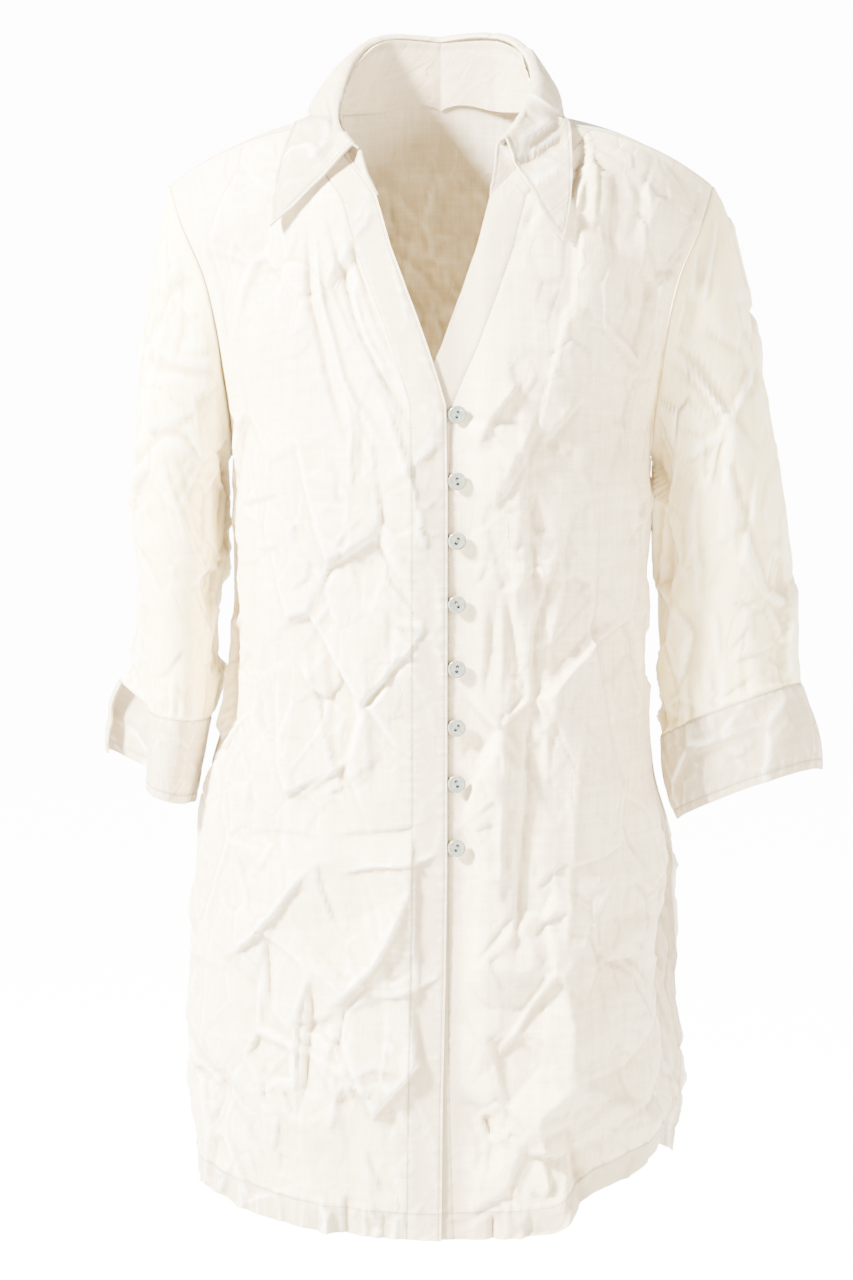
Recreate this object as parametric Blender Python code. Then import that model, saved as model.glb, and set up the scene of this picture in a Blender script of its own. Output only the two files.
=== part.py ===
# A worn linen blouse: two fronts, a back, two set-in sleeves with open cuffs, a standing collar,
# eight shell buttons and the eight loops that hold them. It is hollow, as on a wearer.
# Sizes are in millimetres up to the last step, which scales each mesh to metres.
# +X is the wearer's left, -Y the front, +Z up; the origin lies between the shoulders.

import math

import bmesh
import bpy
import numpy as np
from mathutils import Vector
from mathutils.bvhtree import BVHTree

MM = 0.001
CLOTH_WALL = 1.5
COLLAR_WALL = 1.8
SEAM_GAP = 0.35
SHOULDER_GAP = 1.4
ARMHOLE_GAP = 0.9
SLEEVE_GAP = 2.8  # between a sleeve and the body that it hangs beside
UNDERLAP_DROP = 2.7  # how far the left front lies behind the right one
UNDERLAP_ENDS = (16, 34)  # the left front comes forward again between these
NECK_OPENING = (-150, -70)  # the heights between which the two fronts part

LEFT, RIGHT = 1, -1  # the wearer's left lies at +X

# Heights go up from the hem. Each row is one section of the torso, from its middle (x = 0) to its side.
# turn says how far round the section goes, in degrees, and
# round is 2 for an ellipse and more for a boxier section.
FRONT_COLUMNS = "z_middle z_side side_left side_right y_middle y_side turn round edge_left edge_right".split()
FRONT_SECTIONS = (
    (-799, -766, 162, 184, -125, -36, 86, 2.4, -16, 0),
    (-700, -694, 161, 185, -121, -34, 86, 2.4, -19, 1),
    (-605, -602, 161, 184, -117, -28, 86, 2.4, -20, 3),
    (-530, -528, 164, 181, -114, -9, 88, 2.4, -20, 4),
    (-460, -460, 155, 166, -113, -0.3, 90, 2.4, -20, 4),
    (-400, -400, 151, 154, -114, -0.3, 90, 2.4, -20, 4),
    (-320, -320, 152, 153, -118, -0.3, 90, 2.4, -20, 4),
    (-245, -240, 152, 152, -124, -0.3, 90, 2.5, -20, 4),
)
# Above the armpit a section ends on the armhole, at the angle that the row names. A higher slope keeps
# the section level for longer before it drops to the armhole.
FRONT_YOKE_COLUMNS = "armhole_angle z_middle y_middle turn round slope edge_left edge_right".split()
FRONT_YOKE = (
    (150, -188, -122, 78, 2.4, 1.9, -18, 3),
    (120, -146, -117, 70, 2.4, 1.9, 0, -10),
    (90, -108, -111, 64, 2.4, 2.0, 14, -24),
    (60, -76, -104, 60, 2.3, 2.2, 25, -36),
    (30, -42, -97, 58, 2.2, 2.5, 34, -46),
    (15, -15, -76, 56, 2.1, 2.8, 63, -66),
    (0, 8, -42, 60, 2.0, 3.0, 84, -84),
)
BACK_COLUMNS = "z_middle z_side side_left side_right y_middle y_side turn round".split()
BACK_SECTIONS = (
    (-784, -776, 179, 187, 106, 2, 88, 2.4),
    (-700, -698, 180, 188, 107, 2, 88, 2.4),
    (-605, -604, 178, 187, 107, 2, 88, 2.4),
    (-530, -530, 172, 182, 103, 0.6, 89, 2.4),
    (-460, -460, 155, 166, 93, 0.3, 90, 2.4),
    (-400, -400, 151, 154, 86, 0.3, 90, 2.4),
    (-320, -320, 152, 153, 89, 0.3, 90, 2.4),
    (-245, -240, 152, 152, 95, 0.3, 90, 2.5),
)
BACK_YOKE_COLUMNS = "armhole_angle z_middle y_middle turn round slope neck_edge".split()
BACK_YOKE = (
    (210, -196, 97, 76, 2.4, 1.9, 0),
    (240, -152, 98, 68, 2.4, 1.9, 0),
    (270, -106, 95, 62, 2.3, 2.0, 0),
    (300, -56, 86, 58, 2.2, 2.2, 0),
    (325, 8, 66, 55, 2.1, 2.5, 0),
    (337, 9, 56, 54, 2.0, 2.8, 46),
    (348, 11, 27, 54, 2.0, 3.0, 74),
    (360, 8.6, -41.6, 60, 2.0, 3.0, 84),
)
LOWER_SLOPE = 1.9
# The armhole, round from the shoulder point down its front to the armpit and up its back.
ARMHOLE_COLUMNS = "angle x y z".split()
ARMHOLE = (
    (0, 197, -5, -42),
    (30, 187, -33, -68),
    (60, 171, -47, -103),
    (90, 162, -51, -139),
    (120, 157, -46, -174),
    (150, 153, -29, -210),
    (180, 152, 0, -240),
    (210, 154, 32, -210),
    (240, 159, 51, -170),
    (270, 167, 58, -128),
    (300, 180, 50, -90),
    (330, 192, 26, -58),
)

# A fold is a soft ridge, or a trough where its height is negative, from one end to the other.
FOLD_COLUMNS = "x_top z_top x_low z_low width height".split()
FRONT_FOLDS = (
    (-95, -55, -63, -234, 11, -4),
    (-73, -48, -35, -158, 9, -3),
    (-33, -178, -8, -299, 11, 3),
    (-101, -356, -69, -487, 13, 4),
    (-91, -520, -156, -589, 11, 6),
    (-26, -535, -80, -630, 12, 6),
    (-94, -590, -106, -712, 10, -6),
    (-128, -579, -128, -699, 10, -4),
    (-73, -526, 0, -509, 11, 3),
    (-90, -505, -74, -570, 9, -4),
    (97, -20, 96, -80, 10, -4),
    (118, -26, 119, -95, 10, -3),
    (55, -173, 23, -217, 10, 4),
    (73, -188, 40, -258, 10, 4),
    (104, -180, 70, -228, 11, -4),
    (78, -310, 64, -430, 12, -7),
    (66, -405, 54, -596, 12, -8),
    (50, -356, 40, -556, 13, 5),
    (14, -594, 70, -606, 12, 6),
    (36, -626, 96, -642, 12, -5),
    (92, -661, 17, -690, 12, 6),
    (124, -672, 153, -726, 12, 5),
    (136, -487, 132, -540, 9, -5),
    (94, -553, 150, -524, 10, -4),
    (77, -744, 79, -815, 16, 9),
    (-60, -770, -60, -812, 14, 5),
)
BACK_FOLDS = (
    (-70, -90, -42, -300, 14, -4),
    (66, -80, 38, -280, 14, -4),
    (-8, -330, -30, -520, 15, 4),
    (58, -360, 74, -540, 14, 5),
    (-96, -420, -84, -600, 14, -5),
    (20, -560, 34, -780, 16, 6),
    (-64, -600, -52, -790, 15, 6),
    (112, -580, 120, -780, 15, 5),
    (-130, -560, -126, -740, 13, -5),
)

# Folds die away towards the front edges, in millimetres, and towards the seams, as shares of the panel.
EDGE_QUIET = (14, 34)
SEAM_QUIET = (0.86, 0.97)
SHOULDER_QUIET = (0.9, 0.99)
BACK_NECK_QUIET = (-60, -20)  # in height
HEM_LIFT, HEM_LIFT_REACH, HEM_LIFT_BETWEEN = 20, 140, (80, 116)

# Each row of a sleeve is one ring: its inner and outer points seen from the front, its middle in Y and
# half its depth. bow pulls the ring's front and back towards the body, as the armhole is cut, flare opens
# its outer back, and tilt raises its front and lowers its back.
SLEEVE_COLUMNS = "x_inner z_inner x_outer z_outer y_middle half_depth bow flare tilt".split()
SLEEVES = {
    LEFT: (
        (156, -246, 211, -74, 1, 55, 9, 0, 0),
        (157, -256, 226, -134, 2, 57, 5, 0, 0),
        (158, -281, 242, -208, 2, 57, 1, 0, 2),
        (158.5, -322, 253, -280, 2, 55, 0, 0, 4),
        (159, -376, 260, -346, 0, 52, 0, 0, 6),
        (161, -420, 264, -386, -1, 50, 0, 0, 8),
        (162, -448, 267, -408, -2, 49, 0, 0, 9),
    ),
    RIGHT: (
        (156, -246, 205, -76, 1, 56, 8, 0, 0),
        (158, -260, 214, -138, 3, 59, 4, 0, 0),
        (160, -298, 223, -216, 3, 60, 0, 0, 0),
        (162, -336, 226, -286, 3, 59, 0, 0, 0),
        (164, -378, 223, -344, 3, 57, 0, 2, 1),
        (166, -414, 219, -394, 3, 56, 0, 14, 1),
        (170, -436, 217, -424, 4, 55, 0, 27, 1),
    ),
}
# A cuff runs on from its sleeve, from the angle where its vent opens to the angle where it closes.
CUFFS = {
    LEFT: (
        (162.3, -448.7, 267.3, -408.7, -2, 49, 0, 0, 9),
        (165, -483, 280, -446, -3, 50, 0, 0, 13),
        (176, -512, 283, -474, -4, 49, 0, 0, 17),
    ),
    RIGHT: (
        (170, -436.7, 217, -424.7, 4, 55, 0, 27, 1),
        (176, -468, 219, -452, 4, 54, 0, 33, -2),
        (184, -500, 220, -484, 4, 52, 0, 34, -5),
    ),
}
VENT = {LEFT: (-36, 319), RIGHT: (24, 336)}
FLARE_FROM, FLARE_FULL = 262, 330  # the angles between which a flare opens
FLARE_SHARPNESS = 3.0

# The collar, from the middle of the back round to the front on each side: the line where it rolls over
# and the edge of the fall.
COLLAR_COLUMNS = "roll_x roll_y roll_z edge_x edge_y edge_z".split()
COLLAR = {
    RIGHT: (
        (0, 62, 58, 0, 92, 18),
        (-40, 52, 60, -62, 79, 16),
        (-61, 27, 46, -95, 38, 13),
        (-71, -6, 20, -101, -3, 7),
        (-71, -42, 3, -110, -42, -16),
        (-58, -78, -12, -121, -92, -64),
    ),
    LEFT: (
        (0, 62, 58, 0, 92, 18),
        (40, 52, 60, 60, 79, 17),
        (59, 26, 50, 84, 38, 18),
        (64, -12, 30, 88, -8, 12),
        (57, -50, 11, 87, -46, -12),
        (43, -79, -6, 85, -92, -66),
    ),
}
STAND_GAP = 0.8
STAND_CURVE = 1.5
ROLL_RADIUS = 3.5
ROLL_GAP = 1.4
ROLL_CREST = (0.6, 1.0)  # how far out and up the top of the roll lies, in its radii
ROLL_SHOULDER = (2.2, 0.8)  # and where the fall leaves it
FALL_BULGE = 4.0
FALL_GAP = 4.8  # between the fall and the panels under it
CLEARING_REACH = 40  # points farther off than this are left alone

BUTTON_X = 11.0
BUTTON_HEIGHTS = (-194, -241, -284, -330, -377, -420, -461, -508)
BUTTON_RADIUS = 6.35
BUTTON_THICKNESS = 1.9
BUTTON_SIDES = 14
BUTTON_DISH = 0.35
HOLE_RADIUS = 0.75
HOLE_SPACING = 1.5  # from the middle to a hole
HOLE_SIDES = 6
LOOP_RADIUS = 0.6
LOOP_HALF_WIDTH = 1.9
LOOP_REACH = 9.5
LOOP_STRAIGHT = 3.0
LOOP_ROOT = 0.8  # how much closer together a loop's two ends are
BUTTON_LINE = 1.0  # where the button's seat is measured, on the right front
LOOP_DEPTH = 1.05  # from the right front's face to the middle of a loop's thread

# Rows above the armpit come two to each step of the tables, so that the neck's corners are met.
FRONT_LOWER_ROWS, FRONT_UPPER_ROWS, FRONT_ACROSS = 27, 15, 15
BACK_LOWER_ROWS, BACK_UPPER_ROWS, BACK_ACROSS = 19, 17, 10
NECK_STEPS_FRONT, NECK_STEPS_BACK = 2, 3  # table steps that end on the neck edge
SLEEVE_RINGS, SLEEVE_AROUND = 11, 24  # round the armhole, one point for each row of the front
CUFF_RINGS, CUFF_AROUND = 4, 19
SAME_POINT = 0.02  # points this close are one

LINEN = (0.80, 0.74, 0.62)
LINEN_SHADED = (0.74, 0.67, 0.56)
SHELL = (0.72, 0.72, 0.68)
THREAD = (0.82, 0.77, 0.66)


def smooth_column(values, at):
    """Catmull-Rom through evenly numbered values, at one place or many."""
    values = np.asarray(values, float)
    at = np.clip(np.asarray(at, float), 0, len(values) - 1)
    low = np.minimum(at.astype(int), len(values) - 2)
    part = at - low
    before = values[np.maximum(low - 1, 0)]
    start, end = values[low], values[low + 1]
    after = values[np.minimum(low + 2, len(values) - 1)]
    bend = 2 * start + (end - before) * part
    bend += (2 * before - 5 * start + 4 * end - after) * part**2
    bend += (3 * start - before - 3 * end + after) * part**3
    return 0.5 * bend


def smooth_step(low, high, value):
    part = np.clip((np.asarray(value, float) - low) / (high - low), 0, 1)
    return part * part * (3 - 2 * part)


def section_values(columns, rows, place, straight=()):
    """The table's columns at a place between its rows, as a dictionary."""
    found = {}
    for index, column in enumerate(columns):
        values = [row[index] for row in rows]
        if column in straight:
            found[column] = float(np.interp(place, range(len(values)), values))
        else:
            found[column] = float(smooth_column(values, place))
    return found


def armhole_point(side, angle):
    rows = ARMHOLE + ((360,) + ARMHOLE[0][1:],)
    place = (angle % 360.001) / (rows[1][0] - rows[0][0])
    values = section_values(ARMHOLE_COLUMNS, rows, place)
    return np.array((side * values["x"], values["y"], values["z"]))


def torso_row(side, middle, outer, values, inner_x, across):
    """Evenly spaced points of one section, from inner_x out to the outer point."""
    bend = 2 / values["round"]
    turn = min(values["turn"], 90.0)
    angles = np.radians(np.linspace(-30, turn, 241))
    full_sine = math.sin(math.radians(turn)) ** bend
    full_cosine = math.cos(math.radians(turn)) ** bend
    sines = np.sign(angles) * np.abs(np.sin(angles)) ** bend / full_sine
    cosines = (np.abs(np.cos(angles)) ** bend - full_cosine) / (1 - full_cosine)
    x = outer[0] * sines
    y = outer[1] + (middle[0] - outer[1]) * cosines
    steps = np.hypot(np.diff(x), np.diff(y))
    length = np.concatenate([[0], np.cumsum(steps)])
    middle_at = np.interp(0, angles, length)
    start = float(np.interp(side * inner_x, side * x, length))
    places = np.linspace(start, length[-1], across)
    share = np.clip((places - middle_at) / (length[-1] - middle_at), 0, 1)
    z = middle[1] + (outer[2] - middle[1]) * share ** values.get("slope", LOWER_SLOPE)
    return np.stack([np.interp(places, length, x), np.interp(places, length, y), z], axis=1)


def panel_places(lower_rows, upper_rows, section_count, yoke_count):
    """Places down the joined tables: even steps up to the armpit, then even steps to the shoulder."""
    armpit = section_count - 1
    lower = np.linspace(0, armpit, lower_rows)
    upper = np.linspace(armpit, armpit + yoke_count, upper_rows)
    return np.concatenate([lower, upper[1:]])


def torso_section(side, place, sections, columns, yoke, yoke_columns, edge_column):
    """Middle, outer point, turn, roundness and inner edge of a panel at one place of its two tables."""
    armpit = len(sections) - 1
    half = "side_left" if side == LEFT else "side_right"
    lower = section_values(columns, sections, min(place, armpit), straight=(edge_column, "y_side"))
    armpit_angle = 180.0
    first = (armpit_angle,)
    first += tuple(lower_value(sections, columns, name, edge_column) for name in yoke_columns[1:])
    above = max(place - armpit, 0)
    upper = section_values(yoke_columns, (first,) + yoke, above, straight=(edge_column, "armhole_angle"))
    if place <= armpit:
        outer = np.array((side * lower[half], lower["y_side"], lower["z_side"]))
        chosen = lower
    else:
        outer = armhole_point(side, upper["armhole_angle"])
        outer[1] += sections[-1][columns.index("y_side")] * (1 - smooth_step(0, 1, above))
        chosen = upper
    return chosen, outer


def lower_value(sections, columns, name, edge_column):
    """A yoke column's value at the armpit, read from the last lower section."""
    if name == "slope":
        return LOWER_SLOPE
    if name == edge_column and name not in columns:
        return 0.0
    return sections[-1][columns.index(name)]


def front_grid(side, lower_rows, upper_rows, across):
    edge = "edge_left" if side == LEFT else "edge_right"
    rows = []
    for place in panel_places(lower_rows, upper_rows, len(FRONT_SECTIONS), len(FRONT_YOKE)):
        values, outer = torso_section(
            side, place, FRONT_SECTIONS, FRONT_COLUMNS, FRONT_YOKE, FRONT_YOKE_COLUMNS, edge
        )
        middle = (values["y_middle"], values["z_middle"])
        rows.append(torso_row(side, middle, outer, values, values[edge], across))
    return np.array(rows)


def back_grid(side, lower_rows, upper_rows, across):
    rows = []
    for place in panel_places(lower_rows, upper_rows, len(BACK_SECTIONS), len(BACK_YOKE)):
        values, outer = torso_section(
            side, place, BACK_SECTIONS, BACK_COLUMNS, BACK_YOKE, BACK_YOKE_COLUMNS, "neck_edge"
        )
        middle = (values["y_middle"], values["z_middle"])
        inner_x = side * values.get("neck_edge", 0)
        rows.append(torso_row(side, middle, outer, values, inner_x, across))
    return np.array(rows)


def grid_normals(grid, outward):
    """A unit normal at each point, on the side that faces the given rough direction from the grid."""
    down = np.gradient(grid, axis=0)
    along = np.gradient(grid, axis=1)
    normals = np.cross(down, along)
    normals /= np.linalg.norm(normals, axis=2, keepdims=True) + 1e-9
    facing = np.sum(normals * outward, axis=2).mean()
    return normals if facing > 0 else -normals


def folded(grid, normals, folds, quiet):
    """The grid with its folds raised along its normals. quiet is 0 where no fold may lift the cloth."""
    lift = np.zeros(grid.shape[:2])
    for fold in folds:
        values = dict(zip(FOLD_COLUMNS, fold))
        start = np.array((values["x_top"], values["z_top"]), float)
        run = np.array((values["x_low"], values["z_low"]), float) - start
        length = np.linalg.norm(run)
        away = grid[:, :, (0, 2)] - start
        along = away @ run / length**2
        beside = np.abs(away[:, :, 0] * run[1] - away[:, :, 1] * run[0]) / length
        ends = smooth_step(-0.15, 0.25, along) * smooth_step(-0.15, 0.25, 1 - along)
        lift += values["height"] * np.exp(-((beside / values["width"]) ** 2)) * ends
    return grid + normals * (lift * quiet)[:, :, None]


def front_points(side, lower_rows=FRONT_LOWER_ROWS, upper_rows=FRONT_UPPER_ROWS, across=FRONT_ACROSS):
    grid = front_grid(side, lower_rows, upper_rows, across)
    normals = grid_normals(grid, np.array((side * 0.3, -1, 0)))
    from_edge = side * grid[:, :, 0]
    seam_quiet = 1 - smooth_step(*SEAM_QUIET, np.linspace(0, 1, across))[None, :]
    top_quiet = 1 - smooth_step(*SHOULDER_QUIET, np.linspace(0, 1, len(grid)))[:, None]
    quiet = smooth_step(*EDGE_QUIET, from_edge) * seam_quiet * top_quiet
    grid = folded(grid, normals, FRONT_FOLDS, quiet)
    if side == LEFT:
        under = 1 - smooth_step(*UNDERLAP_ENDS, grid[:, :, 0])
        grid[:, :, 1] += UNDERLAP_DROP * under * underlap_share(grid)
        grid[:, :, 2] += hem_lift(grid)
    grid[-1] -= along_seam(grid) * SHOULDER_GAP
    return grid


def hem_lift(grid):
    """The left front's hem has crept up beside its deepest fold."""
    near_hem = 1 - smooth_step(grid[0, 0, 2], grid[0, 0, 2] + HEM_LIFT_REACH, grid[:, :, 2])
    return HEM_LIFT * smooth_step(*HEM_LIFT_BETWEEN, grid[:, :, 0]) * near_hem


def underlap_share(grid):
    """1 below the opening of the neck, where one front lies on the other, and 0 above it."""
    return 1 - smooth_step(*NECK_OPENING, grid[:, :, 2])


def along_seam(grid):
    """Unit steps from the row before the last to the last one."""
    steps = grid[-1] - grid[-2]
    return steps / np.linalg.norm(steps, axis=1, keepdims=True)


def back_points(lower_rows=BACK_LOWER_ROWS, upper_rows=BACK_UPPER_ROWS, across=BACK_ACROSS):
    """The two halves of the back, which share their middle line below the neck."""
    halves = []
    for side in (RIGHT, LEFT):
        grid = back_grid(side, lower_rows, upper_rows, across)
        normals = grid_normals(grid[:-2], np.array((side * 0.2, 1, 0)))
        normals = np.concatenate([normals, np.repeat(normals[-1:], 2, axis=0)])
        seam_quiet = 1 - smooth_step(*SEAM_QUIET, np.linspace(0, 1, across))[None, :]
        top_quiet = 1 - smooth_step(*BACK_NECK_QUIET, grid[:, :, 2])
        halves.append(folded(grid, normals, BACK_FOLDS, seam_quiet * top_quiet))
    below_neck = np.abs(halves[0][:, 0, 0]) < 1
    shared = (halves[0][below_neck, 0] + halves[1][below_neck, 0]) / 2
    shared[:, 0] = 0
    halves[0][below_neck, 0] = shared
    halves[1][below_neck, 0] = shared
    return halves


def ring_point(side, values, angle):
    """A point of a sleeve's or cuff's ring: 0 is its outer line, 90 its front, 180 its inner line."""
    turn = math.radians(angle)
    inner = np.array((values["x_inner"], 0, values["z_inner"]))
    outer = np.array((values["x_outer"], 0, values["z_outer"]))
    point = (inner + outer) / 2 + (outer - inner) / 2 * math.cos(turn)
    point[1] = values["y_middle"] - values["half_depth"] * math.sin(turn)
    point[2] += values["tilt"] * math.sin(turn)
    point[0] -= values["bow"] * math.sin(turn) ** 4
    opened = float(smooth_step(FLARE_FROM, FLARE_FULL, angle % 360))
    closing = 1 - float(smooth_step(FLARE_FULL, 360, angle % 360))
    point[0] += values["flare"] * opened**FLARE_SHARPNESS * closing
    point[0] *= side
    return point


def sleeve_points(side, rings=SLEEVE_RINGS, around=SLEEVE_AROUND):
    """The rings of a sleeve, the first one on the armhole and the last one at the cuff's seam."""
    rows = SLEEVES[side]
    angles = np.linspace(0, 360, around, endpoint=False)
    knots = [np.array([armhole_point(side, angle) + (side * ARMHOLE_GAP, 0, 0) for angle in angles])]
    for row in rows:
        values = dict(zip(SLEEVE_COLUMNS, row))
        knots.append(np.array([ring_point(side, values, angle) for angle in angles]))
    knots = np.array(knots)
    places = np.linspace(0, len(knots) - 1, rings)
    grid = np.empty((rings, around, 3))
    for column in range(around):
        for axis in range(3):
            grid[:, column, axis] = smooth_column(knots[:, column, axis], places)
    return grid


def cuff_points(side, rings=CUFF_RINGS, around=CUFF_AROUND):
    angles = np.linspace(*VENT[side], around)
    grid = []
    for place in np.linspace(0, len(CUFFS[side]) - 1, rings):
        values = section_values(SLEEVE_COLUMNS, CUFFS[side], place)
        grid.append([ring_point(side, values, angle) for angle in angles])
    return np.array(grid)


def neckline(front, back_half):
    """A side's neck edge from the middle of the back to the front end, the way into the neck at each
    point, and how far round the point lies, from 0 to 1."""
    front_neck = front[-1 - 2 * NECK_STEPS_FRONT :][::-1]
    back_neck = back_half[-1 - 2 * NECK_STEPS_BACK : -1]
    edge = np.concatenate([back_neck[:, 0], front_neck[:, 0]])
    inward = edge - np.concatenate([back_neck[:, 1], front_neck[:, 1]])
    inward[0] = (0, -1, 0.3)
    inward /= np.linalg.norm(inward, axis=1, keepdims=True)
    steps = np.linalg.norm(np.diff(edge, axis=0), axis=1)
    length = np.concatenate([[0], np.cumsum(steps)])
    return edge, inward, length / length[-1]


def collar_lines(side, shares):
    """The roll line and the fall's edge on one side, from the middle of the back to the front."""
    places = shares * (len(COLLAR[side]) - 1)
    count = len(COLLAR_COLUMNS)
    columns = [smooth_column([row[i] for row in COLLAR[side]], places) for i in range(count)]
    return np.stack(columns[:3], axis=1), np.stack(columns[3:], axis=1)


def both_sides(right_lines, left_lines):
    """One line from the right front round the back to the left front."""
    return np.concatenate([right_lines[::-1], left_lines[1:]])


def stand_points(necks):
    """The stand rises from the neck edge to its roll line, curving out a little."""
    lines = []
    for side in (RIGHT, LEFT):
        edge, into, shares = necks[side]
        bottom = edge + into * STAND_GAP
        roll = collar_lines(side, shares)[0] - (0, 0, SEAM_GAP)
        lines.append([bottom + (roll - bottom) * share for share in (0, 0.5, 1)])
    grid = np.array([both_sides(right, left) for right, left in zip(*lines)])
    outward = grid[1] * (1, 1, 0)
    outward /= np.linalg.norm(outward, axis=1, keepdims=True)
    grid[1] += outward * STAND_CURVE
    return grid


def fall_points(necks):
    """The fall goes over its roll and down to its edge, bulging out a little on the way."""
    lines = []
    for side in (RIGHT, LEFT):
        roll, edge = collar_lines(side, necks[side][2])
        away = (edge - roll) * (1, 1, 0)
        away /= np.linalg.norm(away, axis=1, keepdims=True)
        up = np.array((0, 0, 1))
        crest = roll + (away * ROLL_CREST[0] + up * ROLL_CREST[1]) * ROLL_RADIUS
        shoulder = roll + (away * ROLL_SHOULDER[0] + up * ROLL_SHOULDER[1]) * ROLL_RADIUS
        rows = [roll + up * ROLL_GAP, crest, shoulder]
        for share in (0.33, 0.66, 1.0):
            bulge = FALL_BULGE * math.sin(math.pi * share)
            rows.append(shoulder + (edge - shoulder) * share + away * bulge)
        lines.append(rows)
    return np.array([both_sides(right, left) for right, left in zip(*lines)])


def cleared(grid, tree, clearance):
    """The grid with each point at least the clearance outside the surface of the tree."""
    moved = grid.copy()
    for index in np.ndindex(grid.shape[:2]):
        point = Vector(grid[index])
        place, normal, _, distance = tree.find_nearest(point)
        height = (point - place).dot(normal)
        if height < clearance and distance < CLEARING_REACH:
            moved[index] = point + normal * (clearance - height)
    return moved


def faces_of(rows, columns, closed, flip, first=0):
    faces = []
    for row in range(rows - 1):
        for column in range(columns if closed else columns - 1):
            after = (column + 1) % columns
            face = [row * columns + column, row * columns + after]
            face += [(row + 1) * columns + after, (row + 1) * columns + column]
            faces.append([index + first for index in (face[::-1] if flip else face)])
    return faces


def tree_of(grids_and_flips):
    points, faces = [], []
    for grid, flip in grids_and_flips:
        faces += faces_of(*grid.shape[:2], False, flip, len(points))
        points += [Vector(point) for point in grid.reshape(-1, 3)]
    return BVHTree.FromPolygons(points, faces)


def add_object(name, points, faces, paint):
    mesh = bpy.data.meshes.new(name)
    mesh.from_pydata((np.asarray(points) * MM).tolist(), [], faces)
    mesh.validate()
    mesh.materials.append(paint)
    mesh.shade_smooth()
    made = bpy.data.objects.new(name, mesh)
    bpy.context.scene.collection.objects.link(made)
    return made


def merge_close(made, distance):
    shape = bmesh.new()
    shape.from_mesh(made.data)
    bmesh.ops.remove_doubles(shape, verts=shape.verts, dist=distance * MM)
    shape.to_mesh(made.data)
    shape.free()


def add_cloth(name, grids, closed, flips, wall, paint):
    """A sheet of cloth from one or more grids, with its wall inside the points that are given."""
    points, faces = [], []
    for grid, flip in zip(grids, flips):
        faces += faces_of(*grid.shape[:2], closed, flip, len(points))
        points += grid.reshape(-1, 3).tolist()
    made = add_object(name, points, faces, paint)
    merge_close(made, SAME_POINT)
    thick = made.modifiers.new("wall", "SOLIDIFY")
    thick.thickness = wall * MM
    thick.offset = -1
    thick.use_even_offset = False
    return made


def add_paint(name, colour, roughness, sheen):
    paint = bpy.data.materials.new(name)
    paint.use_nodes = True
    shader = paint.node_tree.nodes["Principled BSDF"]
    shader.inputs["Base Color"].default_value = (*colour, 1)
    shader.inputs["Roughness"].default_value = roughness
    shader.inputs["Metallic"].default_value = 0
    shader.inputs["Sheen Weight"].default_value = sheen
    return paint


def add_fronts(right, left, paint):
    add_cloth("right_front", [right], False, [True], CLOTH_WALL, paint)
    add_cloth("left_front", [left], False, [False], CLOTH_WALL, paint)


def add_back(halves, paint):
    add_cloth("back", halves, False, [False, True], CLOTH_WALL, paint)


def add_sleeves(torso, paint):
    for side, name in ((RIGHT, "right_sleeve"), (LEFT, "left_sleeve")):
        grid = sleeve_points(side)
        grid[1:] = cleared(grid[1:], torso, SLEEVE_GAP)
        add_cloth(name, [grid], True, [side == RIGHT], CLOTH_WALL, paint)


def add_cuffs(paint):
    for side, name in ((RIGHT, "right_cuff"), (LEFT, "left_cuff")):
        add_cloth(name, [cuff_points(side)], False, [side == RIGHT], COLLAR_WALL, paint)


def add_collar(fronts, back, torso, paint):
    necks = {side: neckline(fronts[side], back[side]) for side in (RIGHT, LEFT)}
    add_cloth("collar_stand", [stand_points(necks)], False, [True], COLLAR_WALL, paint)
    fall = fall_points(necks)
    fall[3:] = cleared(fall[3:], torso, COLLAR_WALL + FALL_GAP)
    add_cloth("collar_fall", [fall], False, [False], COLLAR_WALL, paint)


def button_mesh():
    """A dished round button with a soft rim and two holes, lying in XZ with its face towards -Y."""
    shape = bmesh.new()
    profile = (
        (0.0, -BUTTON_THICKNESS + BUTTON_DISH),
        (0.66, -BUTTON_THICKNESS + BUTTON_DISH),
        (0.84, -BUTTON_THICKNESS),
        (1.0, -BUTTON_THICKNESS * 0.6),
        (0.9, 0.0),
        (0.0, 0.0),
    )
    ring = [shape.verts.new((share * BUTTON_RADIUS * MM, y * MM, 0)) for share, y in profile]
    edges = [shape.edges.new(pair) for pair in zip(ring, ring[1:])]
    bmesh.ops.spin(
        shape,
        geom=ring + edges,
        axis=(0, 1, 0),
        cent=(0, 0, 0),
        angle=2 * math.pi,
        steps=BUTTON_SIDES,
    )
    bmesh.ops.remove_doubles(shape, verts=shape.verts, dist=0.002 * MM)
    bmesh.ops.recalc_face_normals(shape, faces=shape.faces)
    mesh = bpy.data.meshes.new("button")
    shape.to_mesh(mesh)
    shape.free()
    return mesh


def hole_cutter():
    """Two pegs in one hidden object, one above the other once they are turned to lie along Y."""
    shape = bmesh.new()
    for way in (-1, 1):
        made = bmesh.ops.create_cone(
            shape,
            segments=HOLE_SIDES,
            cap_ends=True,
            radius1=HOLE_RADIUS * MM,
            radius2=HOLE_RADIUS * MM,
            depth=6 * BUTTON_THICKNESS * MM,
        )
        bmesh.ops.translate(shape, verts=made["verts"], vec=(0, way * HOLE_SPACING * MM, 0))
    mesh = bpy.data.meshes.new("hole_cutter")
    shape.to_mesh(mesh)
    shape.free()
    cutter = bpy.data.objects.new("hole_cutter", mesh)
    cutter.rotation_euler = (math.pi / 2, 0, 0)
    cutter.hide_render = True
    cutter.display_type = "WIRE"
    bpy.context.scene.collection.objects.link(cutter)
    return cutter


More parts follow.
